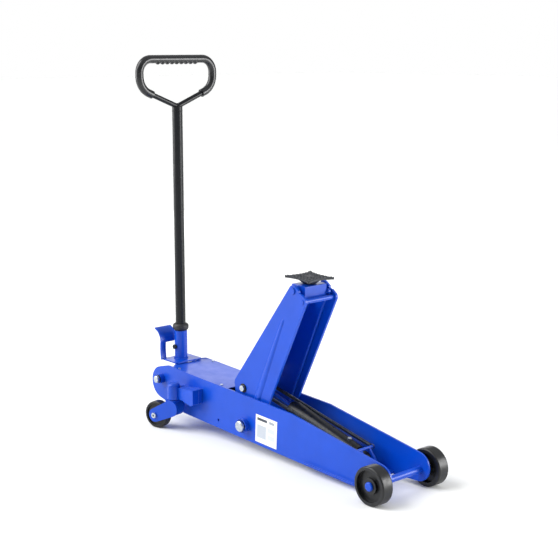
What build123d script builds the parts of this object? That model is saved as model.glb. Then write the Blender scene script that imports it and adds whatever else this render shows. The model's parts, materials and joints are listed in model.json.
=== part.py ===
"""Long-chassis hydraulic trolley jack, 5 tonne class, shown with its lifting arm raised.

Millimetres. +X points to the front wheels, +Y to the left side, +Z up. While it is modelled, x = 0 is at
the front axle and z = 0 is the floor; export_all() then moves the whole jack so that the row's origin is
the centre of its footprint on the floor.
"""
from build123d import *
import os
from math import atan2, cos, degrees, hypot, radians, sin, tan

# ---- running and assembly clearances ----
RUN = 0.05              # radial clearance of a shaft that turns or slides in its bore
FIT = 0.10              # radial clearance of a fixed pin, bolt or sleeve in its hole
SIDE = 0.50             # end float beside a part that turns
SOFT = 0.30             # gap between curved faces on different bodies

# ---- chassis ----
CHASSIS_W = 172.0       # over the outer faces of the two side plates
PLATE_T = 6.0           # side plate
RAKE = 2.55             # degrees, the chassis stands nose down
FRONT_CLEAR = 9.5       # floor to the line of the bottom edge, under the front axle
KINK_X = -398.0         # where the top edge starts to fall towards the front wheels
KINK_Z = 157.0          # centre of the round at the kink
KINK_R = 20.0
NOSE_X = -10.0          # centre of the round front end
NOSE_Z = 67.0
NOSE_R = 46.0
BELLY_X = -135.0        # front end of the straight bottom edge
HEEL_X = -975.0         # rear end of the straight bottom edge
EDGE_R = 12.0           # rounding at belly and heel
SHOULDER_X = -1040.0    # rear end of the straight top edge
SHOULDER_Z = 166.0
SHOULDER_R = 40.0
ROUND_X = -1082.0       # round rear end
ROUND_Z = 137.0
ROUND_R = 57.5
TAIL_X = -1080.0        # handle pivot
TAIL_Z = 153.0
PLATE_HOLE_X = -763.0   # tie-down hole in both side plates
PLATE_HOLE_Z = 71.0
PLATE_HOLE_R = 5.0
TIE_T = 6.0             # bottom plates
FRONT_TIE_X = (-330.0, -104.0)
PUMP_BASE_X = (-1035.0, -700.0)
COVER_X0 = -1036.0      # sheet cover, rear and front edge
COVER_X1 = -718.0
COVER_T = 3.0
LEDGE_T = 4.0           # ledges that carry the cover
COVER_SCREW_R = 3.0

# ---- front axle and wheels ----
WHEEL_R = 60.0
WHEEL_W = 42.0
WHEEL_GAP = 15.6        # side plate to wheel
AXLE_R = 11.0
CAP_R = 14.0            # pressed end cap on the axle
CAP_T = 7.0
HUB_R = 25.0
RIM_R = 49.0            # inside of the rim, at the outer face
RECESS = 13.0           # depth of the web below the rim's outer face

# ---- lifting arm, given raised ----
PIVOT_X = -622.0
PIVOT_Z = 88.0
ARM_ANGLE = 66.1        # degrees, pivot to saddle pin, above the horizontal
ARM_L = 527.0
ARM_LOWER = 63.0        # degrees, travel down to the lowest position
ARM_W = 140.0           # over the arm's side plates
ARM_T = 8.0
ARM_ROOT_R = 50.0
ARM_TIP_R = 17.5
ARM_HEEL = (-49.0, 127.0)   # rear shoulder, from the pivot
ARM_HEEL_R = 24.0
TIE_AHEAD = (43.0, -30.0)   # front tie bar, from the saddle pin
TIE_R = 8.0
TIE_LOBE_R = 16.0
WEB_T = 6.0
WEB_INSET = 5.0         # web's outer face below the rear edge of the plates
BEAD_R = (26.0, 8.0)    # pressed stiffening bead, at its lower and upper end
BEAD_RISE = (4.5, 2.5)
BEAD_FROM = (42.0, 92.0)    # its ends, from the pivot
BEAD_TO = (-46.5, -104.8)   # from the saddle pin
PIVOT_R = 15.0
BUSH_WALL = 7.0
BOSS_LEN = 17.0         # welded bosses on the side plates
BOSS_R = 22.0
HEAD_R = 18.5           # round head of the main pivot
HEAD_T = 9.0
WASHER_T = 4.0

# ---- hydraulic cylinder, springs and their front anchor ----
ANCHOR_X = -160.0
ANCHOR_Z = 72.0
ANCHOR_PIN_R = 9.0
RAM_PIN = (-27.0, 117.0)    # from the main pivot, arm raised
RAM_PIN_R = 10.0
CYL_R = 28.0
CYL_WALL = 6.0
CYL_START = 24.0        # anchor to the barrel's closed end
CYL_END = 322.0         # anchor to the barrel's open end
GLAND_R = 25.0
GLAND_L = 14.0
ROD_R = 14.0
EYE_W = 30.0            # width of the rod's eye and of the front eye
EYE_WALL = 9.0
HOOK_ROD = (-158.0, 102.5)  # rod that holds the springs' front hooks
HOOK_ROD_R = 5.0
HOOK_ROD_HALF = 43.0
SPRING_Y = 36.0
SPRING_R = 6.0
HOOK_WIRE = 2.0
GUSSET_T = 6.0

# ---- saddle and its carrier ----
CARRIER_HALF_L = 31.0
CARRIER_UP = 15.0
CARRIER_DOWN = 27.0
CARRIER_HALF_W = 46.0
CARRIER_PIN_R = 8.0
LEVEL_ARM = 33.0        # levelling pin, from the saddle pin, at right angles to the arm
LEVEL_PIN_R = 5.0
LEVEL_EYE_R = 9.0
LEVEL_T = 8.0           # thickness of the levelling rod's eyes
LEVEL_ROD_R = 4.5
LEVEL_Y = 49.0          # inner face of the levelling rod's eyes
SADDLE_TILT = 2.55      # degrees, the saddle stays parallel to the chassis
SADDLE_HALF = 62.0
SADDLE_T = 8.0
SADDLE_STEM_R = 14.0
SADDLE_STEM_L = 24.0
SADDLE_NECK = 16.0
SADDLE_WAIST = 0.70     # middle of its concave edges, as a share of the half width
TOOTH_PITCH = 14.0
TOOTH_DEEP = 3.5

# ---- casters ----
CASTER_X = -952.0
CASTER_OUT = 45.0       # side plate to the swivel axis
CASTER_R = 47.5
CASTER_W = 30.0
CASTER_TRAIL = 70.0
CASTER_TURN = 15.0      # degrees, trailing outwards
CASTER_BOLT_R = 6.0
FORK_T = 6.0
FORK_R = 24.0           # round end of the legs
FORK_TOP_R = 29.0       # their width at the crown
CROWN_Z = 103.0
CROWN_T = 8.0
STEM_R = 10.0
SWIVEL_WASHER = 3.0
SWIVEL_BOSS_R = 22.0
SWIVEL_BOSS_L = 44.0
BRACKET_X = -848.0      # front end of the caster bracket
BRACKET_DROP = 9.0      # its front end sits this much lower
BRACKET_WALL = 6.0

# ---- handle ----
YOKE_R = 22.0
YOKE_HALF_W = 50.0
REAR_PIVOT_R = 10.0
SOCKET_WALL = 5.0
SOCKET_TOP = 316.0
HANDLE_R = 18.0
HANDLE_WALL = 3.0
HANDLE_FOOT = 180.0
HANDLE_TOP = 1096.0
SCREW_R = 5.0           # guide screw in the socket
COLLAR_OVER = 5.5       # how far the collar stands out past the socket
COLLAR_H = 26.0
GRIP_TUBE_R = 9.0
SLEEVE_R = 14.0
GRIP_HALF_W = 157.0     # to the centre line of the grip's tube
GRIP_HEEL_Z = 1112.0
GRIP_SIDE_Z = 1175.0
GRIP_TOP_Z = 1274.0
GRIP_LOW_R = 60.0
GRIP_HIGH_R = 46.0
SLEEVE_FROM = 106.0     # the sleeve starts this far from the middle
HANDLE_SWING = 60.0     # degrees, pumping stroke, towards the rear
VALVE_TURN = 90.0       # degrees, handle twist that opens the release valve

# ---- foot pedal, on the yoke ----
PEDAL_Y = (-62.0, 6.0)
STRIP_W = 21.0
PEDAL_T = 5.0
PEDAL_TOP = (-73.0, 166.0)      # upper edge of the pad, from the handle pivot
PEDAL_FOOT = (-38.0, 118.0)     # lower edge of the pad
PEDAL_BASE_Z = 60.0     # top of the base plate, above the handle pivot
PEDAL_BASE_T = 5.0
PEDAL_BASE_X = (-37.0, 49.0)
PEDAL_BASE_HALF_W = 56.0

# ---- pump, tank and oil pipe ----
CAM_ARM = 40.0          # handle pivot to the cam roller
CAM_START = 30.0        # degrees, roller behind straight down, handle upright
CAM_R = 10.0
PLUNGER_R = 8.0
PLUNGER_HEAD_R = 11.5
PLUNGER_HEAD_T = 8.0
PLUNGER_STROKE = 40.0
BLOCK_X = (-1034.0, -962.0)
BLOCK_HALF_W = 44.0
BLOCK_TOP = 176.0
TANK_X = (-956.0, -738.0)
TANK_HALF_W = 60.0
TANK_TOP = 181.0
TANK_WALL = 3.0
VALVE_Z = 60.0          # release valve, above the pump's base plate
VALVE_Y = 34.0
SPINDLE_R = 7.0
PIPE_R = 3.5
PIPE_Y = 50.0           # where it rises to the anchor pin
PIPE_FLOAT = 1.5        # above the front bottom plate

# ---- label ----
LABEL_X = -517.0
LABEL_L = 104.0
LABEL_H = 93.0
LABEL_LIFT = 11.0       # above the chassis's bottom edge
LABEL_T = 0.6

HALF_W = CHASSIS_W / 2
INNER = HALF_W - PLATE_T
CASTER_Y = HALF_W + CASTER_OUT
SOCKET_R = HANDLE_R + SOCKET_WALL
COLLAR_R = SOCKET_R + COLLAR_OVER
ARM_OUT = ARM_W / 2
ARM_IN = ARM_OUT - ARM_T
PIVOT_OUT = HALF_W + BOSS_LEN
RAM_X = PIVOT_X + RAM_PIN[0]
RAM_Z = PIVOT_Z + RAM_PIN[1]
ARM_DIR = (cos(radians(ARM_ANGLE)), sin(radians(ARM_ANGLE)))
ARM_FRONT = (ARM_DIR[1], -ARM_DIR[0])
SADDLE_X = PIVOT_X + ARM_L * ARM_DIR[0]
SADDLE_Z = PIVOT_Z + ARM_L * ARM_DIR[1]
LEVEL_OFF = (LEVEL_ARM * ARM_FRONT[0], LEVEL_ARM * ARM_FRONT[1])
SADDLE_TOP = SADDLE_Z + CARRIER_UP + SADDLE_NECK + SADDLE_T
BOTTOM_SLOPE = tan(radians(RAKE))


# ---- small building helpers ----
def bottom_z(x):
    """Height of the chassis's bottom edge at x."""
    return FRONT_CLEAR - BOTTOM_SLOPE * x


def top_z(x):
    """Height of the chassis's straight rear top edge at x."""
    rise = SHOULDER_Z + SHOULDER_R - KINK_Z - KINK_R
    return KINK_Z + KINK_R + rise * (KINK_X - x) / (KINK_X - SHOULDER_X)


def rod_y(r, x, z, y0, y1):
    """Cylinder along Y."""
    return Pos(x, (y0 + y1) / 2, z) * Rot(90, 0, 0) * Cylinder(r, y1 - y0)


def rod_z(r, x, y, z0, z1):
    """Cylinder along Z."""
    return Pos(x, y, (z0 + z1) / 2) * Cylinder(r, z1 - z0)


def rod_x(r, y, z, x0, x1):
    """Cylinder along X."""
    return Pos((x0 + x1) / 2, y, z) * Rot(0, 90, 0) * Cylinder(r, x1 - x0)


def block(x0, x1, y0, y1, z0, z1):
    """Box between two corners."""
    return Pos((x0 + x1) / 2, (y0 + y1) / 2, (z0 + z1) / 2) * Box(x1 - x0, y1 - y0, z1 - z0)


def slab(outline, y0, y1):
    """Outline drawn in X and Z, thick from y0 to y1."""
    plane = Plane(origin=(0, y1, 0), x_dir=(1, 0, 0), z_dir=(0, -1, 0))
    return extrude(plane * outline, y1 - y0)


def round_hull(circles):
    """Outline stretched round several circles, each (x, z, radius)."""
    return make_hull([Pos(x, z) * Edge.make_circle(r) for x, z, r in circles])


def ring_y(r_out, r_in, x, z, y0, y1):
    """Washer or bush along Y."""
    return rod_y(r_out, x, z, y0, y1) - rod_y(r_in, x, z, y0 - 1, y1 + 1)


def both_sides(shape):
    """The shape and its mirror image across the middle plane."""
    return group(shape, mirror(shape, about=Plane.XZ))


def group(*shapes):
    """Separate solids in one node."""
    return Compound(children=[s for shape in shapes for s in shape.solids()])


def turned(shape, x, z, angle):
    """Shape turned about a Y axis through (x, z); a positive angle lowers what is ahead of it."""
    return Pos(x, 0, z) * Rot(0, angle, 0) * Pos(-x, 0, -z) * shape


# ---- chassis ----
def side_plate(side):
    """One side plate with its welded bosses and cover ledge; side is -1 right, +1 left."""
    outline = round_hull([
        (NOSE_X, NOSE_Z, NOSE_R),
        (KINK_X, KINK_Z, KINK_R),
        (BELLY_X, bottom_z(BELLY_X) + EDGE_R, EDGE_R),
        (HEEL_X, bottom_z(HEEL_X) + EDGE_R, EDGE_R),
        (ROUND_X, ROUND_Z, ROUND_R),
        (SHOULDER_X, SHOULDER_Z, SHOULDER_R),
    ])
    plate = slab(outline, INNER, HALF_W)
    plate += rod_y(BOSS_R, PIVOT_X, PIVOT_Z, HALF_W, PIVOT_OUT)
    plate += rod_y(BOSS_R * 0.75, TAIL_X, TAIL_Z, HALF_W, PIVOT_OUT)
    ledge = block(COVER_X0 + 12, COVER_X1 - 6, INNER - 10, INNER, -3 - LEDGE_T, -3)
    plate += on_top_edge(ledge)
    plate -= rod_y(PIVOT_R + FIT, PIVOT_X, PIVOT_Z, INNER - 1, PIVOT_OUT + 1)
    plate -= rod_y(REAR_PIVOT_R + FIT, TAIL_X, TAIL_Z, INNER - 1, PIVOT_OUT + 1)
    plate -= rod_y(AXLE_R + FIT, 0, WHEEL_R, INNER - 1, HALF_W + 1)
    plate -= rod_y(PLATE_HOLE_R, PLATE_HOLE_X, PLATE_HOLE_Z, INNER - 1, HALF_W + 1)
    for x, y in cover_screw_places():
        if y > 0:
            plate -= on_top_edge(rod_z(COVER_SCREW_R + FIT, x, y, -20, 1))
    return plate if side > 0 else mirror(plate, about=Plane.XZ)


def on_top_edge(shape):
    """Moves a shape drawn with z = 0 on the top edge to that sloping edge, hinged at the cover's middle."""
    x_mid = (COVER_X0 + COVER_X1) / 2
    slope = degrees(atan2(top_z(COVER_X0) - top_z(COVER_X1), COVER_X1 - COVER_X0))
    return Pos(x_mid, 0, top_z(x_mid)) * Rot(0, slope, 0) * Pos(-x_mid, 0, 0) * shape


def cover_screw_places():
    """Four screws, near the corners of the cover."""
    y = INNER - 5.0
    return [(x, s * y) for x in (COVER_X0 + 45, COVER_X1 - 40) for s in (-1, 1)]


def top_cover():
    """Sheet cover over pump and tank, its rear corners cropped."""
    crop = 14.0
    y = INNER - 0.3
    corners = [(COVER_X1, -y), (COVER_X1, y), (COVER_X0 + crop, y), (COVER_X0, y - crop)]
    corners += [(COVER_X0, crop - y), (COVER_X0 + crop, -y)]
    sheet = Pos(0, 0, -COVER_T) * extrude(make_face(Polyline(*corners, close=True)), COVER_T)
    for x, y_hole in cover_screw_places():
        sheet -= rod_z(COVER_SCREW_R + FIT, x, y_hole, -20, 1)
    return on_top_edge(sheet)


def cover_screws():
    """Four button-head screws."""
    parts = []
    for x, y in cover_screw_places():
        screw = rod_z(COVER_SCREW_R, x, y, -COVER_T - 8, 0)
        screw += rod_z(4.6, x, y, 0, 2.4)
        parts.append(on_top_edge(screw))
    return group(*parts)


def bottom_plate(x_pair):
    """Plate welded between the side plates, along their bottom edge."""
    x0, x1 = x_pair
    lift = EDGE_R / 2
    corners = [(x0, bottom_z(x0) + lift), (x1, bottom_z(x1) + lift)]
    corners += [(x1, bottom_z(x1) + lift + TIE_T), (x0, bottom_z(x0) + lift + TIE_T)]
    return slab(make_face(Polyline(*corners, close=True)), -INNER, INNER)


def plate_top(x):
    """Upper face of the bottom plates at x."""
    return bottom_z(x) + EDGE_R / 2 + TIE_T


def front_axle():
    """Through axle with a step that keeps each wheel off its side plate."""
    hub_in = HALF_W + WHEEL_GAP
    axle = rod_y(AXLE_R, 0, WHEEL_R, -hub_in - WHEEL_W + 4, hub_in + WHEEL_W - 4)
    for s in (-1, 1):
        y = sorted((s * (HALF_W + 0.2), s * (hub_in - SIDE)))
        axle += rod_y(AXLE_R + 5, 0, WHEEL_R, *y)
    return axle


def axle_end_caps():
    """Domed caps pressed on the axle's ends."""
    y = HALF_W + WHEEL_GAP + WHEEL_W - 4
    cap = rod_y(CAP_R, 0, WHEEL_R, y, y + CAP_T)
    cap = fillet(cap.edges().filter_by(GeomType.CIRCLE).sort_by(Axis.Y)[-1], CAP_T * 0.6)
    return both_sides(cap)


def front_wheel(side):
    """Solid wheel with a rim, a web and a hub."""
    y0 = HALF_W + WHEEL_GAP
    y1 = y0 + WHEEL_W
    wheel = rod_y(WHEEL_R, 0, WHEEL_R, y0, y1)
    wheel = fillet(wheel.edges().filter_by(GeomType.CIRCLE), 4.5)
    wheel -= ring_y(RIM_R, HUB_R, 0, WHEEL_R, y1 - RECESS, y1 + 1)
    wheel -= rod_y(HUB_R + 1, 0, WHEEL_R, y1 - 4, y1 + 1)
    wheel -= ring_y(RIM_R - 3, HUB_R, 0, WHEEL_R, y0 - 1, y0 + RECESS)
    wheel -= rod_y(AXLE_R + RUN, 0, WHEEL_R, y0 - 1, y1 + 1)
    return wheel if side > 0 else mirror(wheel, about=Plane.XZ)


# ---- pivots ----
def main_pivot_shaft():
    """Fixed shaft through chassis and arm, with its round head on the right side."""
    y = PIVOT_OUT + WASHER_T
    shaft = rod_y(PIVOT_R, PIVOT_X, PIVOT_Z, -y, y + 12)
    head = rod_y(HEAD_R, PIVOT_X, PIVOT_Z, -y - HEAD_T, -y)
    head = fillet(head.edges().filter_by(GeomType.CIRCLE).sort_by(Axis.Y)[0], HEAD_T / 2)
    return shaft + head


def rear_pivot_shaft():
    """Shaft that the handle yoke turns on, headed on the right side."""
    y = PIVOT_OUT + WASHER_T
    shaft = rod_y(REAR_PIVOT_R, TAIL_X, TAIL_Z, -y, y + 10)
    head = rod_y(REAR_PIVOT_R + 3, TAIL_X, TAIL_Z, -y - HEAD_T, -y)
    head = fillet(head.edges().filter_by(GeomType.CIRCLE).sort_by(Axis.Y)[0], HEAD_T / 2.5)
    return shaft + head


def hexagon_y(across, hole_r, x, z, y0, y1):
    """Hexagon nut along Y."""
    plane = Plane(origin=(x, y1, z), x_dir=(1, 0, 0), z_dir=(0, -1, 0))
    nut = extrude(plane * RegularPolygon(across / 2, 6, major_radius=False), y1 - y0)
    return nut - rod_y(hole_r, x, z, y0 - 1, y1 + 1)


def pivot_nuts():
    """Nuts on the left ends of both pivots."""
    y = PIVOT_OUT + WASHER_T
    main = hexagon_y(40, PIVOT_R, PIVOT_X, PIVOT_Z, y, y + 10)
    rear = hexagon_y(28, REAR_PIVOT_R, TAIL_X, TAIL_Z, y, y + 8)
    return group(main, rear)


def pivot_washers():
    """Black washers under heads and nuts, and the tubes that keep the yoke in the middle."""
    y0 = PIVOT_OUT
    main = ring_y(HEAD_R - 1, PIVOT_R + FIT, PIVOT_X, PIVOT_Z, y0, y0 + WASHER_T)
    rear = ring_y(REAR_PIVOT_R + 4, REAR_PIVOT_R + FIT, TAIL_X, TAIL_Z, y0, y0 + WASHER_T)
    tube = ring_y(REAR_PIVOT_R + 5, REAR_PIVOT_R + FIT, TAIL_X, TAIL_Z, YOKE_HALF_W + SIDE, INNER - 0.1)
    return both_sides(group(main, rear, tube))


def levelling_lug():
    """Lug clamped on the main pivot; its pin is the levelling rod's fixed end."""
    x = PIVOT_X + LEVEL_OFF[0]
    z = PIVOT_Z + LEVEL_OFF[1]
    y0 = LEVEL_Y - SIDE - 8
    y1 = LEVEL_Y - SIDE
    lug = slab(round_hull([(PIVOT_X, PIVOT_Z, PIVOT_R + 8), (x, z, 10)]), y0, y1)
    lug -= rod_y(PIVOT_R + FIT, PIVOT_X, PIVOT_Z, y0 - 1, y1 + 1)
    return lug + rod_y(LEVEL_PIN_R, x, z, y1, LEVEL_Y + LEVEL_T + 2)


# ---- cylinder anchor ----
def anchor_bracket():
    """Two gussets welded on the front bottom plate, with the rod for the springs across their tops."""
    y0 = EYE_W / 2 + SIDE
    foot_x0 = ANCHOR_X - 34
    foot_x1 = ANCHOR_X + 44
    points = [(foot_x0, plate_top(foot_x0)), (foot_x1, plate_top(foot_x1))]
    points += [(ANCHOR_X + 39, 66), (HOOK_ROD[0] + 7, HOOK_ROD[1]), (HOOK_ROD[0] - 7, HOOK_ROD[1])]
    points += [(ANCHOR_X - 15, ANCHOR_Z + 12)]
    gusset = slab(make_face(Polyline(*points, close=True)), y0, y0 + GUSSET_T)
    bracket = gusset + mirror(gusset, about=Plane.XZ)
    bracket += rod_y(HOOK_ROD_R, HOOK_ROD[0], HOOK_ROD[1], -HOOK_ROD_HALF, HOOK_ROD_HALF)
    return bracket - rod_y(ANCHOR_PIN_R + FIT, ANCHOR_X, ANCHOR_Z, -60, 60)


def cylinder_anchor_pin():
    """Drilled pin that the cylinder tilts on; the oil pipe feeds its left end."""
    y = EYE_W / 2 + SIDE + GUSSET_T + 6
    pin = rod_y(ANCHOR_PIN_R, ANCHOR_X, ANCHOR_Z, -y, y)
    pin += rod_y(ANCHOR_PIN_R + 4, ANCHOR_X, ANCHOR_Z, -y - 3, -y)
    return pin - rod_y(2.0, ANCHOR_X, ANCHOR_Z, 0, y + 1)


# ---- arm ----
def arm_outline():
    """Outline of the arm's side plate, raised."""
    tie_x = SADDLE_X + TIE_AHEAD[0]
    tie_z = SADDLE_Z + TIE_AHEAD[1]
    return round_hull([
        (PIVOT_X, PIVOT_Z, ARM_ROOT_R),
        (PIVOT_X + ARM_HEEL[0], PIVOT_Z + ARM_HEEL[1], ARM_HEEL_R),
        (SADDLE_X, SADDLE_Z, ARM_TIP_R),
        (tie_x, tie_z, TIE_LOBE_R),
    ])


def arm_plate(side):
    """Tapered plate with a pressed bead and a notch between its two round tips."""
    tie_x = SADDLE_X + TIE_AHEAD[0]
    tie_z = SADDLE_Z + TIE_AHEAD[1]
    plate = slab(arm_outline(), ARM_IN, ARM_OUT)
    plate += bead()
    span = hypot(*TIE_AHEAD)
    away = (-TIE_AHEAD[1] / span, TIE_AHEAD[0] / span)
    notch_x = SADDLE_X + TIE_AHEAD[0] * 0.52 + away[0] * 21
    notch_z = SADDLE_Z + TIE_AHEAD[1] * 0.52 + away[1] * 21
    plate -= rod_y(8.5, notch_x, notch_z, ARM_IN - 1, ARM_OUT + 1)
    plate -= rod_y(PIVOT_R + BUSH_WALL, PIVOT_X, PIVOT_Z, ARM_IN - 1, ARM_OUT + 1)
    plate -= rod_y(RAM_PIN_R + FIT, RAM_X, RAM_Z, ARM_IN - 1, ARM_OUT + 1)
    plate -= rod_y(CARRIER_PIN_R + FIT, SADDLE_X, SADDLE_Z, ARM_IN - 1, ARM_OUT + 1)
    plate -= rod_y(TIE_R + FIT, tie_x, tie_z, ARM_IN - 1, ARM_OUT + 1)
    return plate if side > 0 else mirror(plate, about=Plane.XZ)


def bead():
    """Long tapering stiffening bead, a shallow round ridge on the outer face."""
    ends = []
    low = (PIVOT_X + BEAD_FROM[0], PIVOT_Z + BEAD_FROM[1])
    high = (SADDLE_X + BEAD_TO[0], SADDLE_Z + BEAD_TO[1])
    for (x, z), r, rise in zip((low, high), BEAD_R, BEAD_RISE):
        ends.append(Vector(x, ARM_OUT + rise - r, z))
    plane = Plane(origin=ends[0], z_dir=ends[1] - ends[0])
    placed = Solid.make_cone(*BEAD_R, (ends[1] - ends[0]).length, plane)
    placed += Pos(*ends[0]) * Sphere(BEAD_R[0]) + Pos(*ends[1]) * Sphere(BEAD_R[1])
    keep = block(PIVOT_X - 300, PIVOT_X + 500, ARM_OUT - 1, ARM_OUT + 20, 0, 800)
    return placed & keep


def arm_web():
    """Plate that closes the rear of the arm, between the side plates."""
    edge = atan2(SADDLE_Z - PIVOT_Z - ARM_HEEL[1], SADDLE_X - PIVOT_X - ARM_HEEL[0])
    back = (-sin(edge), cos(edge))
    low = (PIVOT_X + ARM_HEEL[0], PIVOT_Z + ARM_HEEL[1])
    start = 20.0
    length = hypot(SADDLE_X - low[0], SADDLE_Z - low[1]) - 62.0
    outer_low = ARM_HEEL_R - WEB_INSET
    outer_high = ARM_TIP_R - WEB_INSET
    corners = []
    for along, off in ((start, outer_low), (length, outer_high), (length, outer_high - WEB_T),
                       (start, outer_low - WEB_T)):
        x = low[0] + cos(edge) * along + back[0] * off
        z = low[1] + sin(edge) * along + back[1] * off
        corners.append((x, z))
    return slab(make_face(Polyline(*corners, close=True)), -ARM_IN, ARM_IN)


def arm_tie_bar():
    """Bar across the arm's front tips."""
    x = SADDLE_X + TIE_AHEAD[0]
    z = SADDLE_Z + TIE_AHEAD[1]
    return rod_y(TIE_R, x, z, -ARM_OUT - 2, ARM_OUT + 2)


def arm_bushes():
    """Flanged bronze bushes in the arm's root, running on the main pivot."""
    bush = ring_y(PIVOT_R + BUSH_WALL, PIVOT_R + RUN, PIVOT_X, PIVOT_Z, ARM_IN, ARM_OUT)
    bush += ring_y(PIVOT_R + BUSH_WALL + 6, PIVOT_R + RUN, PIVOT_X, PIVOT_Z, ARM_OUT, INNER - SIDE)
    return both_sides(bush)


def ram_pin():
    """Pin that the cylinder pushes, also the springs' rear anchor."""
    return rod_y(RAM_PIN_R, RAM_X, RAM_Z, 1 - INNER, INNER - 1)


def ram_pin_clips():
    """Black retaining discs outside the arm plates."""
    clip = ring_y(RAM_PIN_R + 5, RAM_PIN_R + FIT, RAM_X, RAM_Z, ARM_OUT + 0.2, ARM_OUT + 2.4)
    return both_sides(clip)


def carrier_pins():
    """Headed stub pins in the arm's tips; the saddle's stem turns between them."""
    pin = rod_y(CARRIER_PIN_R, SADDLE_X, SADDLE_Z, SADDLE_STEM_R + 10, ARM_OUT + 4)
    pin += rod_y(CARRIER_PIN_R + 3, SADDLE_X, SADDLE_Z, ARM_OUT + 0.2, ARM_OUT + 4)
    return both_sides(pin)


# ---- saddle carrier, levelling rod and saddle ----
def saddle_carrier():
    """Block that carries the saddle, kept level by the levelling rod."""
    body = block(-CARRIER_HALF_L, CARRIER_HALF_L, -CARRIER_HALF_W, CARRIER_HALF_W,
                 -CARRIER_UP - CARRIER_DOWN, 0)
    body = fillet(body.edges().filter_by(Axis.Y), 3.0)
    body -= rod_z(SADDLE_STEM_R + RUN, 0, 0, -SADDLE_STEM_L - 1, 1)
    body = saddle_place(body)
    for y0, y1 in ((CARRIER_HALF_W - 1, LEVEL_Y - SIDE), (SIDE - ARM_IN, 1 - CARRIER_HALF_W)):
        body += rod_y(CARRIER_PIN_R + 6, SADDLE_X, SADDLE_Z, y0, y1)
    for y0, y1 in ((SADDLE_STEM_R + 8, ARM_IN), (-ARM_IN, -SADDLE_STEM_R - 8)):
        body -= rod_y(CARRIER_PIN_R + RUN, SADDLE_X, SADDLE_Z, y0, y1)
    pin_x = SADDLE_X + LEVEL_OFF[0]
    pin_z = SADDLE_Z + LEVEL_OFF[1]
    return body + rod_y(LEVEL_PIN_R, pin_x, pin_z, CARRIER_HALF_W - 1, LEVEL_Y + LEVEL_T + 2)


def saddle_place(shape):
    """Puts a shape drawn round the stem's axis on the carrier's top, tilted with the chassis."""
    return Pos(SADDLE_X, 0, SADDLE_Z) * Rot(0, SADDLE_TILT, 0) * Pos(0, 0, CARRIER_UP) * shape


def levelling_rod():
    """Round rod, parallel to the arm, with an eye at each end."""
    low = (PIVOT_X + LEVEL_OFF[0], PIVOT_Z + LEVEL_OFF[1])
    high = (SADDLE_X + LEVEL_OFF[0], SADDLE_Z + LEVEL_OFF[1])
    bar = rod_x(LEVEL_ROD_R, 0, 0, LEVEL_EYE_R - 1, ARM_L - LEVEL_EYE_R + 1)
    bar = Pos(low[0], LEVEL_Y + LEVEL_T / 2, low[1]) * Rot(0, -ARM_ANGLE, 0) * bar
    for x, z in (low, high):
        bar += rod_y(LEVEL_EYE_R, x, z, LEVEL_Y, LEVEL_Y + LEVEL_T)
    for x, z in (low, high):
        bar -= rod_y(LEVEL_PIN_R + RUN, x, z, LEVEL_Y - 1, LEVEL_Y + LEVEL_T + 1)
    return bar


def saddle():
    """Cast four-cornered saddle, toothed on top, on a round stem."""
    z0 = SADDLE_NECK
    z1 = SADDLE_NECK + SADDLE_T
    half = SADDLE_HALF
    dip = half * SADDLE_WAIST
    corners = [(half, half), (-half, half), (-half, -half), (half, -half)]
    waists = [(0, dip), (-dip, 0), (0, -dip), (dip, 0)]
    edge = [ThreePointArc(corners[i], waists[i], corners[(i + 1) % 4]) for i in range(4)]
    plate = Pos(0, 0, z0) * extrude(make_face(edge), SADDLE_T)
    plate = fillet(plate.edges().filter_by(Axis.Z), 3.5)
    count = int(half // TOOTH_PITCH)
    for i in range(-count, count + 1):
        cutter = Rot(0, 45, 0) * Box(TOOTH_DEEP * 1.3, 4 * half, TOOTH_DEEP * 1.3)
        groove = Pos((i + 0.5) * TOOTH_PITCH, 0, z1) * cutter
        plate -= groove
        plate -= Rot(0, 0, 90) * groove
    plate += Pos(0, 0, (0.6 + z0) / 2) * Cone(SADDLE_STEM_R + 6, dip - 3, z0 - 0.6)
    plate += rod_z(16, 0, 0, z0, z1)
    plate += rod_z(SADDLE_STEM_R, 0, 0, -SADDLE_STEM_L, z0)
    return saddle_place(plate)


# ---- cylinder ----
def ram_length(angle):
    """Anchor to ram pin, with the arm lowered by angle degrees."""
    x, z = ram_point(angle)
    return hypot(x - ANCHOR_X, z - ANCHOR_Z)


def ram_tilt(angle):
    """Cylinder's angle above the horizontal, in degrees, with the arm lowered by angle degrees."""
    x, z = ram_point(angle)
    return degrees(atan2(z - ANCHOR_Z, ANCHOR_X - x))


def ram_point(angle):
    """Ram pin's place, with the arm lowered by angle degrees."""
    a = radians(angle)
    x = RAM_PIN[0] * cos(a) + RAM_PIN[1] * sin(a)
    z = RAM_PIN[1] * cos(a) - RAM_PIN[0] * sin(a)
    return PIVOT_X + x, PIVOT_Z + z


def slide_ratio():
    """Rod travel for each degree of arm travel, in mm; it is the closed linkage's mean."""
    return (ram_length(ARM_LOWER) - ram_length(0)) / ARM_LOWER


def tilt_ratio():
    """Cylinder tilt for each degree of arm travel; it is the closed linkage's mean."""
    return (ram_tilt(ARM_LOWER) - ram_tilt(0)) / ARM_LOWER


def eye_wander():
    """How far the ram pin strays from the rod's end, (along, up), while both follow the arm evenly."""
    strays = []
    for step in range(13):
        angle = ARM_LOWER * step / 12
        lag = radians(ram_tilt(angle) - ram_tilt(0) - tilt_ratio() * angle)
        length = ram_length(angle)
        along = length * cos(lag) - ram_length(0) - slide_ratio() * angle
        strays.append((along, length * sin(lag)))
    return strays


def along_ram(shape):
    """Moves a shape drawn along +X from the anchor to the cylinder's place."""
    return Pos(ANCHOR_X, 0, ANCHOR_Z) * Rot(0, 180 + ram_tilt(0), 0) * shape


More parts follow.
